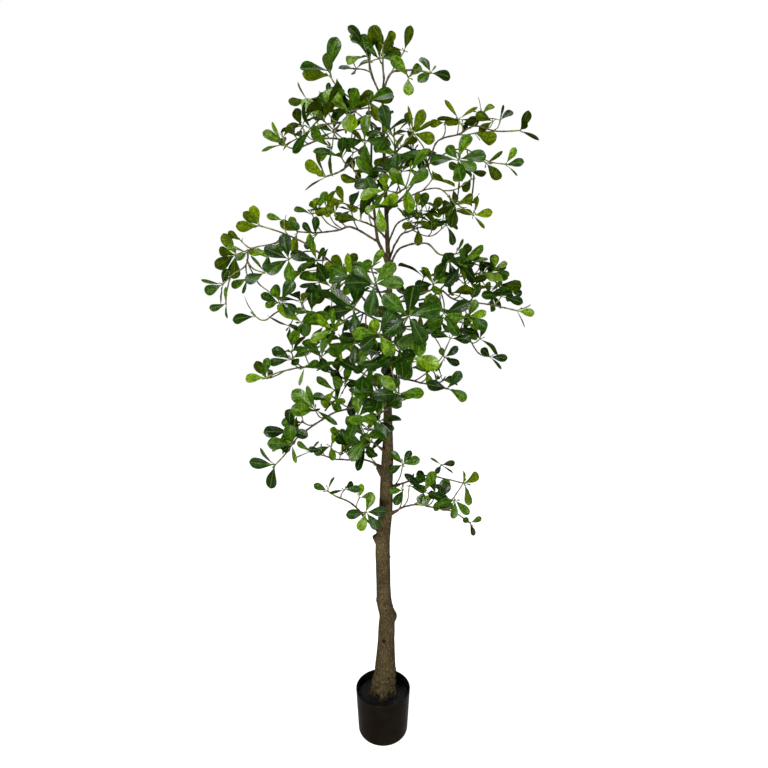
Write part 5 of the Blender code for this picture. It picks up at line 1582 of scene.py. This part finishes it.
stone_vertices, stone_faces, stone_count = strew_stones()
loose_gravel = make_gravel("loose gravel", (0.042, 0.042, 0.046))
add_piece("loose_gravel", stone_vertices, stone_faces, loose_gravel, [], 60.0)
print("stones", stone_count, "triangles", len(stone_faces))

# %% [markdown]
# ## The trunk
# The trunk is a tapering, slightly crooked pole with a root flare of five lobes, three sawn stubs, a
# second stem and a swelling wherever a limb leaves it. It could be sculpted, but then it would no
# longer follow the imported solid. So each stem, stub and limb's collar is a tube of its own first,
# along the same lines as the solid's, with far more sides.

# %% Trunk tubes
STEM_SPACING = 0.012
STEM_ROUND = 30
STUB_ROUND = 20
COLLAR_ROUND = 14
COLLAR_RADIUS = 0.0075
COLLAR_TIP_RADIUS = 0.0040
COLLAR_LENGTH = 0.030
COLLAR_MOST = 0.8
COLLAR_FULL_STEM = 0.012


def smooth_line(points, radii, spacing):
    """Points and radii every few millimetres along the smooth curve through a route's nodes."""
    line, widths = [], []
    for index in range(len(points) - 1):
        count = max(1, round((points[index + 1] - points[index]).length / spacing))
        for step in range(count):
            share = step / count
            line.append(spline_point(points, index, share))
            widths.append(radii[index] * (1.0 - share) + radii[index + 1] * share)
    return line + [points[-1]], widths + [radii[-1]]


def trunk_tubes():
    """Closed tubes for the stems, the stubs and the collar of every limb."""
    tubes = []
    for rows in (LEADER_LINE, FORK_LINE):
        nodes = [Vector(row[:3]) for row in rows]
        line, widths = smooth_line(nodes, [row[3] for row in rows], STEM_SPACING)
        tubes.append(build_tube(line, widths, STEM_ROUND))
    vertices, faces = tubes[0]
    tubes[0] = [flared(vertex) for vertex in vertices], faces
    tubes += [stub_tube(*stub, STUB_ROUND) for stub in STUBS]
    for limb in LIMBS:
        nodes = tree[limb.name][0].nodes
        line = LEADER_LINE if limb.stem == LEADER else FORK_LINE
        along = (nodes[1] - nodes[0]).normalized()
        stem = stem_radius(line, nodes[0].z)
        collar = min(COLLAR_RADIUS, COLLAR_MOST * stem)
        tip = nodes[0] + along * (stem + COLLAR_LENGTH * min(1.0, stem / COLLAR_FULL_STEM))
        route = [nodes[0], nodes[0].lerp(tip, 0.5), tip]
        tubes.append(build_tube(route, [collar, 0.75 * collar, COLLAR_TIP_RADIUS], COLLAR_ROUND))
    return tubes


def stem_radius(line, height):
    """The radius of a stem at a height."""
    for low, high in zip(line, line[1:]):
        if low[2] <= height <= high[2]:
            share = (height - low[2]) / (high[2] - low[2])
            return low[3] + (high[3] - low[3]) * share
    return line[-1][3]


def flared(vertex):
    """Moves a point of the trunk's foot out or in with the root lobes."""
    reach = root_lobes(vertex.z, math.atan2(vertex.y, vertex.x))
    return Vector((vertex.x * reach, vertex.y * reach, vertex.z))


tubes = trunk_tubes()
print("tubes", len(tubes), "faces", sum(len(faces) for vertices, faces in tubes))

# %% [markdown]
# Tubes that only cross each other would meet in hard creases, while wood flows together where a limb
# leaves the trunk. A voxel remesh melts all the tubes into one skin and rounds every joint. Its
# grid is fine enough for the smallest stub, and a little smoothing takes its steps away.

# %% Melt the tubes together
VOXEL = 0.0018
RELAX_SHARE = 0.5
RELAX_STEPS = 3


def melted(name, tubes, voxel):
    """One rounded skin from many crossing tubes."""
    vertices, faces = [], []
    for tube in tubes:
        append_body(vertices, faces, *tube)
    mesh = bpy.data.meshes.new(name)
    mesh.from_pydata([tuple(vertex) for vertex in vertices], [], faces)
    rough = bpy.data.objects.new(name + "_rough", mesh)
    bpy.context.scene.collection.objects.link(rough)
    melt = rough.modifiers.new("melt", "REMESH")
    melt.mode = "VOXEL"
    melt.voxel_size = voxel
    relax = rough.modifiers.new("relax", "SMOOTH")
    relax.factor = RELAX_SHARE
    relax.iterations = RELAX_STEPS
    graph = bpy.context.evaluated_depsgraph_get()
    skin = bpy.data.meshes.new_from_object(rough.evaluated_get(graph))
    bpy.data.objects.remove(rough)
    return skin


skin = melted("trunk_bark", tubes, VOXEL)
print("trunk skin", len(skin.vertices), "vertices")

# %% [markdown]
# The bark has ridges that follow the grain, small pits, gnarled creases on the flare, and the burls
# and holes that the photograph shows. A bump pattern alone would leave the outline smooth, so the
# skin itself is pushed in and out. How deep each point lies is kept for the bark's colours, which
# are painted darker in the hollows as shade.

# %% Carve the bark
LUMP_HEIGHT = 0.0012
RIDGE_HEIGHT = 0.0006
RIDGE_SHIFT = (4.0, 7.0, 1.0)
PIT_DEPTH = 0.0028
PIT_SHARE = 0.35
CREASE_HEIGHT = 0.021
CREASE_FADE = 0.13
CREASE_SHARE = 0.13
CREASE_MOST = 0.3
ROUGH_RADIUS = 0.020
LEADER_SPAN = (0.12, 1.98)
RELIEF_SPAN = 0.006
# The next two numbers only deepen the stored relief in the valleys between the roots, for the painted shade
# there; they don't move the skin.
GROOVE_FROM = 0.18
GROOVE_DEPTH = 0.018
# Burls and holes, read from the photograph: place in centimetres, radius and height in
# millimetres. A hole has a height below zero.
MARKS = [
    ((3.2, -0.8, 38.2), 24, 7.0), ((-2.2, -0.8, 43.2), 14, 2.5), ((2.1, -0.5, 57.2), 9, 2.5),
    ((0.0, -2.4, 30.7), 8, -10.0), ((0.1, -2.4, 32.6), 8, 1.5), ((-2.6, -3.0, 16.2), 8, -9.0),
    ((-1.4, -3.6, 16.6), 7, -8.0), ((0.2, -4.0, 16.8), 8, -9.0), ((2.1, -3.2, 18.9), 8, -7.0),
    ((0.6, -3.7, 20.8), 5, -6.0), ((-1.8, -3.5, 19.4), 6, 2.5), ((-0.2, -4.0, 18.2), 5, 2.0),
]


def drawn_out(point, across, along, shift=(0.0, 0.0, 0.0)):
    """Smooth noise from -1 to 1, so many patches a metre across the trunk and along it."""
    return noise.noise(Vector((point.x * across, point.y * across, point.z * along)) + Vector(shift))


def grain_height(point):
    """Height of the bark's lumps, ridges, pits and creases at a point, in metres."""
    lumps = drawn_out(point, 28.0, 14.0)
    ridges = 1.0 - 2.0 * abs(drawn_out(point, 95.0, 17.0, RIDGE_SHIFT))
    pits = max(0.0, drawn_out(point, 150.0, 105.0) - PIT_SHARE)
    low = min(1.0, max(0.0, 1.0 - (point.z - GRAVEL_TOP) / CREASE_FADE))
    creases = min(CREASE_MOST, abs(drawn_out(point, 95.0, 76.0))) - CREASE_SHARE
    return LUMP_HEIGHT * lumps + RIDGE_HEIGHT * ridges - PIT_DEPTH * pits + CREASE_HEIGHT * low * creases


def mark_height(point):
    """Height of the burls and holes at a point, in metres."""
    height = 0.0
    for place, radius, rise in MARKS:
        near = (point - Vector(place) * CM).length * 1000.0 / radius
        if near < 1.0:
            height += rise / 1000.0 * (1.0 - near ** 2) ** 2
    return height


def carve(skin):
    """Pushes the skin in and out, and gives each point's relief from 0, a deep hollow, to 1."""
    normals = [vertex.normal.copy() for vertex in skin.vertices]
    relief = []
    for vertex, normal in zip(skin.vertices, normals):
        low, high = LEADER_SPAN
        radius = stem_radius(LEADER_LINE, min(high, max(low, vertex.co.z)))
        grain = grain_height(vertex.co) * min(1.0, radius / ROUGH_RADIUS)
        mark = mark_height(vertex.co)
        vertex.co += normal * (grain + mark)
        # The valleys between the roots count as deeper, for the painted shade in the bark's colour.
        groove = 1.0 - root_lobes(vertex.co.z, math.atan2(vertex.co.y, vertex.co.x)) - GROOVE_FROM
        depth = grain + 2.0 * min(0.0, mark) - GROOVE_DEPTH * max(0.0, groove)
        relief.append(min(1.0, max(0.0, 0.5 + depth / RELIEF_SPAN)))
    return relief


relief = carve(skin)
print("mean relief", round(sum(relief) / len(relief), 3))

# %% [markdown]
# The bark is a dusty olive brown, finely mottled, with dark pits and pale flecks and a few green
# specks. It is paler where it stands out and darker near the ground, and painted shade darkens its
# hollows, so the stored relief and the height steer these. The cracks are stretched upwards, as bark
# is. The thin stems higher up are the same wood. The layers are laid on in turn, as a painter would.

# %% Bark material
def make_bark():
    """Dusty olive-brown bark with fissures, pits and pale flecks."""
    material, tree, shader, position, patches, grain = start_material("bark", 26.0, 520.0)
    marks = place_group(tree, bark_group, [("Position", position)], Cell_Scale=150.0, Stretch=0.42)
    relief = stored(tree, "bark_relief").outputs["Fac"]
    blots = spread(tree, noise_node(tree, position, 170.0, 3.0, 0.75), 0.50, 0.60)
    foot = spread(tree, rise_of(tree, position), 0.16, 0.30, 0.55, 0.0)
    pits = spread(tree, noise_node(tree, position, 200.0, 1.0), 0.28, 0.36, 1.0, 0.0)
    specks = spread(tree, noise_node(tree, position, 310.0, 1.0), 0.72, 0.76)
    colour = painted_over(tree, (0.034, 0.022, 0.0075), [
        (patches, (0.081, 0.056, 0.021)),
        (faded(tree, grain, 0.70), (0.040, 0.029, 0.012)),
        (faded(tree, marks.outputs["Flecks"], 0.45), (0.170, 0.135, 0.066)),
        (faded(tree, marks.outputs["Fissures"], 0.35), (0.014, 0.010, 0.005)),
        (faded(tree, blots, 0.65), (0.010, 0.007, 0.003)),
        (spread(tree, relief, 0.60, 0.95, 0.0, 0.35), (0.150, 0.118, 0.060)),
        (foot, (0.022, 0.014, 0.005)),
        # Painted shade: the deepest hollows of the carved skin are darkened almost to black.
        (spread(tree, relief, 0.08, 0.42, 0.92, 0.0), (0.006, 0.004, 0.002)),
        (calculate(tree, "MULTIPLY", pits, calculate(tree, "ADD", foot, 0.35)), (0.008, 0.005, 0.002)),
        (specks, (0.075, 0.150, 0.030)),
    ])
    finish_surface(tree, shader, colour, spread(tree, grain, 0.0, 1.0, 0.65, 0.9), 0.10)
    add_bump(tree, shader, marks.outputs["Height"], 0.0016)
    return material


bark = make_bark()
skin_vertices = [vertex.co.copy() for vertex in skin.vertices]
skin_faces = [tuple(polygon.vertices) for polygon in skin.polygons]
trunk = add_piece("trunk_bark", skin_vertices, skin_faces, bark, ["trunk"], 75.0)
store(trunk.data, "bark_relief", relief)
print("trunk", [round(size, 3) for size in trunk.dimensions])

# %% [markdown]
# ## Twigs
# The limbs and twigs are wire under a skin of paper or plastic: thin, springy, with a knuckle every
# few centimetres where an old leaf stood, brown at the foot and green near the leaves. Each one is
# a tube along its own route. A curve object with a bevel would be quicker, but it can't swell at
# the knuckles or carry how green it is, so the tube is made ring by ring and the green is stored on
# its points for the material to read.

# %% Twig shape
TWIG_SPACING = 0.0075
LIMB_SLIM = 0.88
# The domed hub at a twig's end: heights above it and radii
HUB_DOME = ((0.0008, 0.0027), (0.0026, 0.0025), (0.0042, 0.0017), (0.0050, 0.0006))
HUB_NECK_RADIUS = 0.0024
TWIG_ROUND = 7
KNUCKLE_SPACING = 0.027
KNUCKLE_SWELL = 0.30
KNUCKLE_SHIFT = 0.0007
GREEN_LENGTH = 0.100


def knuckled(line, widths, draw):
    """Adds the knuckles: small swellings, with the twig stepping from side to side between them."""
    phase = draw.uniform(0.0, 1.0)
    side = Vector((draw.uniform(-1, 1), draw.uniform(-1, 1), draw.uniform(-1, 1)))
    travelled = 0.0
    moved, swollen = [], []
    for index, (point, width) in enumerate(zip(line, widths)):
        if index:
            travelled += (point - line[index - 1]).length
        turn = travelled / KNUCKLE_SPACING + phase
        near = (0.5 + 0.5 * math.cos(math.tau * turn)) ** 6
        ends = min(1.0, 4.0 * index / len(line), 4.0 * (len(line) - 1 - index) / len(line))
        moved.append(point + side * (KNUCKLE_SHIFT * ends * math.cos(math.pi * turn)))
        swollen.append(width * (1.0 + KNUCKLE_SWELL * near))
    return moved, swollen


def twig_tube(shoot, draw):
    """A shoot's tube with its domed hub, and how green each point is."""
    points, radii = smooth_line(shoot.nodes, shoot.radii, TWIG_SPACING)
    slim = LIMB_SLIM if shoot.radii[0] == LIMB_ROOT_RADIUS else 1.0
    points, radii = knuckled(points, [radius * slim for radius in radii], draw)
    radii[-1] = HUB_NECK_RADIUS
    for rise, radius in HUB_DOME:
        points.append(shoot.nodes[-1] + shoot.axis * rise)
        radii.append(radius)
    vertices, faces = build_tube(points, radii, TWIG_ROUND)
    to_tip = [0.0] * len(points)
    for index in range(len(points) - 2, -1, -1):
        to_tip[index] = to_tip[index + 1] + (points[index + 1] - points[index]).length
    green = []
    for distance in to_tip:
        green += [max(0.0, 1.0 - distance / GREEN_LENGTH)] * TWIG_ROUND
    return vertices, faces, green


# %% [markdown]
# A twig is dull brown wood that turns a fresh green over its last few centimetres. Two materials
# would show a hard edge where they meet, so one material runs from brown to green by the stored number.


# %% Twig material
def make_twig_material():
    """Brown knuckled wood that turns green towards the leaves."""
    material, tree, shader, position, patches, grain = start_material("twig", 60.0, 800.0)
    marks = place_group(tree, bark_group, [("Position", position)], Cell_Scale=420.0, Stretch=0.6)
    young = calculate(tree, "ADD", stored(tree, "twig_green").outputs["Fac"], faded(tree, patches, 0.2))
    fresh = blend_colours(tree, patches, (0.066, 0.078, 0.012), (0.135, 0.160, 0.022))
    colour = painted_over(tree, (0.030, 0.022, 0.012), [
        (patches, (0.095, 0.074, 0.038)),
        (faded(tree, marks.outputs["Fissures"], 0.5), (0.026, 0.018, 0.009)),
        (spread(tree, young, 0.25, 1.0), fresh),
    ])
    finish_surface(tree, shader, colour, spread(tree, grain, 0.0, 1.0, 0.5, 0.75), 0.3)
    add_bump(tree, shader, marks.outputs["Height"], 0.0004)
    return material


twig_material = make_twig_material()


def build_twigs(limb, shoots):
    """All the wood of one limb as one piece."""
    vertices, faces, green = [], [], []
    for index, shoot in enumerate(shoots):
        draw = random.Random(limb + " knuckles " + str(index))
        tube_vertices, tube_faces, tube_green = twig_tube(shoot, draw)
        append_body(vertices, faces, tube_vertices, tube_faces)
        green += tube_green
    piece = add_piece("twigs_" + limb, vertices, faces, twig_material, ["spray_" + limb], 70.0)
    store(piece.data, "twig_green", green)
    return piece


twigs = [build_twigs(name, shoots) for name, shoots in tree.items()]
print("twig pieces", len(twigs), "faces", sum(len(piece.data.polygons) for piece in twigs))

# %% [markdown]
# ## Leaves
# A leaf of this tree is spoon-shaped: a narrow foot that widens to a round end with the hint of a
# point. The real ones are printed fabric on a wire rib: thin, folded a little along the rib, cupped
# one way or the other and wavy at the edge. A flat picture of a leaf would vanish from the side, so
# each leaf is a thin closed body on a small grid. Rows run along the leaf and columns across it,
# and the fold, the cup and the wave are added to the grid's height.

# %% Leaf shape
LEAF_OUTLINE = (
    (0.0, 0.06), (0.06, 0.07), (0.13, 0.16), (0.24, 0.37), (0.36, 0.62), (0.49, 0.85), (0.61, 0.98),
    (0.72, 1.01), (0.82, 0.94), (0.90, 0.77), (0.955, 0.52), (0.99, 0.26), (1.015, 0.04),
)
LEAF_COLUMNS = (-1.0, -0.62, -0.12, 0.0, 0.12, 0.62, 1.0)
YOUNG_OUTLINE = (
    (0.0, 0.10), (0.15, 0.22), (0.40, 0.62), (0.65, 0.98), (0.85, 0.82), (0.96, 0.42), (1.0, 0.06),
)
YOUNG_COLUMNS = (-1.0, -0.5, 0.0, 0.5, 1.0)
SKIN_THICKNESS = 0.00045
EDGE_THINNER = 0.55
RIB_THICKNESS = 0.0010
RIB_REACH = 0.3
RIB_SUNK = 0.0003
RIB_TIP_THINNER = 0.75
FOLD = (3.0, 14.0)
CUP = (-0.22, 0.20)
WAVE_HEIGHT = (0.01, 0.055)
WAVE_COUNT = (1.2, 2.4)
OTHER_EDGE_LATER = 1.1


def leaf_grid(shoot, leaf, draw, outline, columns):
    """A leaf's vertices and faces, with each vertex's place across, along and on which face."""
    hub = shoot.nodes[-1] + shoot.axis * (HUB_HEIGHT / 2.0)
    stations = [along for along, share in outline]
    frames = leaf_frames(hub, shoot.axis, shoot.turn, leaf, shoot.sides, stations)
    fold = math.radians(draw.uniform(*FOLD))
    cup = draw.uniform(*CUP)
    wave = leaf.width * draw.uniform(*WAVE_HEIGHT)
    waves = draw.uniform(*WAVE_COUNT)
    phase = draw.uniform(0.0, math.tau)
    vertices, places = [], []
    for under in (0.0, 1.0):
        for (centre, sideways, upward), (along, share) in zip(frames, outline):
            half = leaf.width * share / 2.0
            for across in columns:
                turn = math.tau * waves * along + phase + (OTHER_EDGE_LATER if across > 0 else 0.0)
                bowl = (cup * half + wave * share * math.sin(turn)) * across ** 2
                sunk = RIB_SUNK * share if across == 0.0 else 0.0
                near_rib = max(0.0, 1.0 - abs(across) / RIB_REACH)
                rib = RIB_THICKNESS * (1.0 - RIB_TIP_THINNER * along) * near_rib
                thick = SKIN_THICKNESS * (1.0 - EDGE_THINNER * across ** 2) + rib
                rise = half * abs(across) * math.tan(fold) + bowl - sunk - under * thick
                vertices.append(centre + sideways * (half * across * math.cos(fold)) + upward * rise)
                places.append((across, along, under))
    return vertices, grid_faces(len(outline), len(columns)), places


def grid_faces(rows, columns):
    """The faces of a thin body whose upper grid is listed first and its lower grid second."""
    faces = []
    lower = rows * columns
    for row in range(rows - 1):
        for column in range(columns - 1):
            first = row * columns + column
            after = first + columns
            faces.append((first, after, after + 1, first + 1))
            faces.append((lower + first, lower + first + 1, lower + after + 1, lower + after))
        left = row * columns
        right = left + columns - 1
        faces.append((left, lower + left, lower + left + columns, left + columns))
        faces.append((right, right + columns, lower + right + columns, lower + right))
    end = (rows - 1) * columns
    for column in range(columns - 1):
        faces.append((column, column + 1, lower + column + 1, lower + column))
        faces.append((end + column, lower + end + column, lower + end + column + 1, end + column + 1))
    return faces


print("points in a leaf:", 2 * len(LEAF_OUTLINE) * len(LEAF_COLUMNS))

# %% [markdown]
# Between the big leaves of a whorl stand one to three small new ones, upright and of a fresher green,
# which hide the bare hub. They are the same kind of leaf, only narrower, so the same grid makes them.

# %% Young leaves
YOUNG_COUNTS = (1, 2, 2, 3)
YOUNG_UNEVEN = 0.6
YOUNG_LEAN = (6, 34)
YOUNG_BEND = (0, 30)
YOUNG_ROLL = (-30, 30)
YOUNG_LENGTH = (0.010, 0.024)
YOUNG_WIDTH_RATIO = (0.26, 0.38)


def young_leaves(draw):
    """One to three small upright leaves for a shoot's tip."""
    count = draw.choice(YOUNG_COUNTS)
    leaves = []
    for index in range(count):
        length = draw.uniform(*YOUNG_LENGTH)
        leaves.append(Leaf(
            side=0,
            heading=math.tau * (index + draw.uniform(0.0, YOUNG_UNEVEN)) / count,
            lean=math.radians(draw.uniform(*YOUNG_LEAN)),
            bend=math.radians(draw.uniform(*YOUNG_BEND)),
            roll=math.radians(draw.uniform(*YOUNG_ROLL)),
            length=length,
            width=length * draw.uniform(*YOUNG_WIDTH_RATIO),
        ))
    return leaves


# %% [markdown]
# ### Leaf material
# The upper face is a deep glossy green with paler veins, and the underside is matt and olive, its
# paler tones partly painted light that stands in for light shining through the thin leaf. Every
# leaf has its own tone, from almost black-green to fresh green. The numbers for that are stored on
# the leaf's points: where a point lies across and along the leaf, on which face, and the leaf's tone.

# %% Vein group
def make_vein_group():
    """The rib, the side veins and a height for a leaf, from the place of a point on the leaf."""
    group, given, made = new_group(
        "leaf veins",
        [("Place", "NodeSocketVector", None), ("Tone", "NodeSocketFloat", 0.5),
         ("Vein Count", "NodeSocketFloat", 9.0)],
        [("Rib", "NodeSocketFloat"), ("Veins", "NodeSocketFloat"), ("Height", "NodeSocketFloat"),
         ("Clouds", "NodeSocketFloat")])
    parts = group.nodes.new("ShaderNodeSeparateXYZ")
    group.links.new(given.outputs["Place"], parts.inputs["Vector"])
    across = calculate(group, "ABSOLUTE", parts.outputs["X"])
    rib = spread(group, across, 0.02, 0.13, 1.0, 0.0)
    slanted = calculate(group, "SUBTRACT", parts.outputs["Y"], faded(group, across, 0.22))
    comb = calculate(group, "FRACT", calculate(group, "MULTIPLY", slanted, given.outputs["Vein Count"]))
    middle = calculate(group, "ABSOLUTE", calculate(group, "SUBTRACT", comb, 0.5))
    veins = spread(group, middle, 0.0, 0.16, 1.0, 0.0)
    spot = group.nodes.new("ShaderNodeCombineXYZ")
    for axis, value, scale in (("X", parts.outputs["X"], 1.3), ("Y", parts.outputs["Y"], 3.0),
                               ("Z", given.outputs["Tone"], 57.0)):
        group.links.new(calculate(group, "MULTIPLY", value, scale), spot.inputs[axis])
    clouds = noise_node(group, spot.outputs["Vector"], 1.4, 2.5, 0.55)
    sunk = calculate(group, "ADD", faded(group, rib, -0.6), faded(group, veins, -0.40))
    height = calculate(group, "ADD", faded(group, clouds, 0.9), sunk)
    shown = spread(group, clouds, 0.35, 0.65)
    for label, value in (("Rib", rib), ("Veins", veins), ("Height", height), ("Clouds", shown)):
        group.links.new(value, made.inputs[label])
    return group


vein_group = make_vein_group()
print("group:", vein_group.name, [item.name for item in vein_group.interface.items_tree])

# %% [markdown]
# Upper face, underside and young leaf differ only in tones, veins and shine, so one function makes
# all three. A picture of a leaf would look printed when repeated eight hundred times. The colours here
# come from the leaf's own number and from soft clouds that no two leaves share.

# %% Leaf materials
def leaf_tones(tree, tone, colours):
    """A colour that runs through several tones as a leaf's own number goes from 0 to 1."""
    ramp = tree.nodes.new("ShaderNodeValToRGB")
    ramp.color_ramp.interpolation = "LINEAR"
    steps = ramp.color_ramp.elements
    while len(steps) < len(colours):
        steps.new(0.5)
    for index, colour in enumerate(colours):
        steps[index].position = index / (len(colours) - 1)
        steps[index].color = (*colour, 1.0)
    tree.links.new(tone, ramp.inputs["Fac"])
    return ramp.outputs["Color"]


def make_leaf(name, tones, dots, vein, rib_share, gloss, mirror):
    """A leaf face: its tones, its printed dots, its veins, how plain the rib is, and its shine."""
    material, tree, shader, position, patches, grain = start_material(name, 45.0, 190.0)
    own = stored(tree, "leaf_tone").outputs["Fac"]
    place = stored(tree, "leaf_place").outputs["Vector"]
    veins = place_group(tree, vein_group, [("Place", place), ("Tone", own)], Vein_Count=9.0)
    shift = faded(tree, calculate(tree, "SUBTRACT", veins.outputs["Clouds"], 0.5), 0.30)
    tone = leaf_tones(tree, calculate(tree, "ADD", own, shift, clamp=True), tones)
    marks = calculate(tree, "MAXIMUM", faded(tree, veins.outputs["Rib"], rib_share),
                      faded(tree, veins.outputs["Veins"], 0.3 * rib_share))
    colour = painted_over(tree, tone, [(spread(tree, grain, 0.45, 0.62, 0.0, 0.55), dots), (marks, vein)])
    shine = calculate(tree, "ADD", faded(tree, veins.outputs["Clouds"], 0.12), gloss)
    finish_surface(tree, shader, colour, shine, mirror)
    add_bump(tree, shader, veins.outputs["Height"], 0.0009, 0.7)
    return material


mature_leaf = make_leaf(
    "leaf upper face",
    [(0.0020, 0.0095, 0.0004), (0.0080, 0.032, 0.0008), (0.030, 0.076, 0.0014), (0.100, 0.178, 0.0022)],
    (0.0020, 0.0095, 0.0004), (0.080, 0.130, 0.006), 0.40, 0.19, 0.12)
# The underside's matt olive is its own colour; its paler tones are partly painted light shining through the
# leaf.
leaf_underside = make_leaf(
    "leaf underside",
    [(0.0070, 0.014, 0.0002), (0.036, 0.060, 0.0004), (0.105, 0.158, 0.0008)],
    (0.0060, 0.012, 0.0002), (0.070, 0.108, 0.002), 0.35, 0.50, 0.03)
young_leaf = make_leaf(
    "young leaf",
    [(0.040, 0.090, 0.002), (0.095, 0.170, 0.003)],
    (0.030, 0.070, 0.002), (0.110, 0.180, 0.008), 0.40, 0.38, 0.10)
print("leaf materials:", mature_leaf.name, leaf_underside.name, young_leaf.name)

# %% [markdown]
# All the leaves of one limb are one piece, which stands for that limb's solid together with its
# twigs. Each face of the mesh picks its material, and each point keeps its place and its leaf's tone.

# %% Put the leaves on
UPPER_FACE, UNDERSIDE, YOUNG = range(3)
WHORL_SHADE = (0.15, 0.75)
LEAF_SHADE = (-0.42, 0.42)


def build_leaves(limb, shoots):
    """All the leaves of one limb as one piece, with the places and tones for its materials."""
    vertices, faces, kinds, places, tones = [], [], [], [], []
    for number, shoot in enumerate(shoots):
        draw = random.Random(limb + " leaves " + str(number))
        shade = draw.uniform(*WHORL_SHADE)
        jobs = [(leaf, LEAF_OUTLINE, LEAF_COLUMNS, UPPER_FACE) for leaf in shoot.leaves]
        jobs += [(leaf, YOUNG_OUTLINE, YOUNG_COLUMNS, YOUNG) for leaf in young_leaves(draw)]
        for leaf, outline, columns, kind in jobs:
            leaf_vertices, leaf_faces, leaf_places = leaf_grid(shoot, leaf, draw, outline, columns)
            append_body(vertices, faces, leaf_vertices, leaf_faces)
            places += leaf_places
            tones += [min(1.0, max(0.0, shade + draw.uniform(*LEAF_SHADE)))] * len(leaf_vertices)
            upper = len(leaf_vertices) // 2
            kinds += [kind if kind == YOUNG or min(face) < upper else UNDERSIDE for face in leaf_faces]
    piece = add_piece("leaves_" + limb, vertices, faces, mature_leaf, ["spray_" + limb], 55.0)
    for material in (leaf_underside, young_leaf):
        piece.data.materials.append(material)
    piece.data.polygons.foreach_set("material_index", kinds)
    place = piece.data.attributes.new("leaf_place", "FLOAT_VECTOR", "POINT")
    place.data.foreach_set("vector", np.array(places, np.float32).ravel())
    store(piece.data, "leaf_tone", tones)
    return piece


leaves = [build_leaves(name, shoots) for name, shoots in tree.items()]
print("leaf pieces", len(leaves), "faces", sum(len(piece.data.polygons) for piece in leaves))

# %% [markdown]
# ## Size and finish
# Both boxes, the imported model's and the dressed tree's, are printed side by side.

# %% Sizes
bpy.context.view_layer.update()
dressed_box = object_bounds()
for axis, low, high, new_low, new_high in zip("xyz", *cad_box, *dressed_box):
    print(axis, "solids %.3f to %.3f, dressed %.3f to %.3f" % (low, high, new_low, new_high))
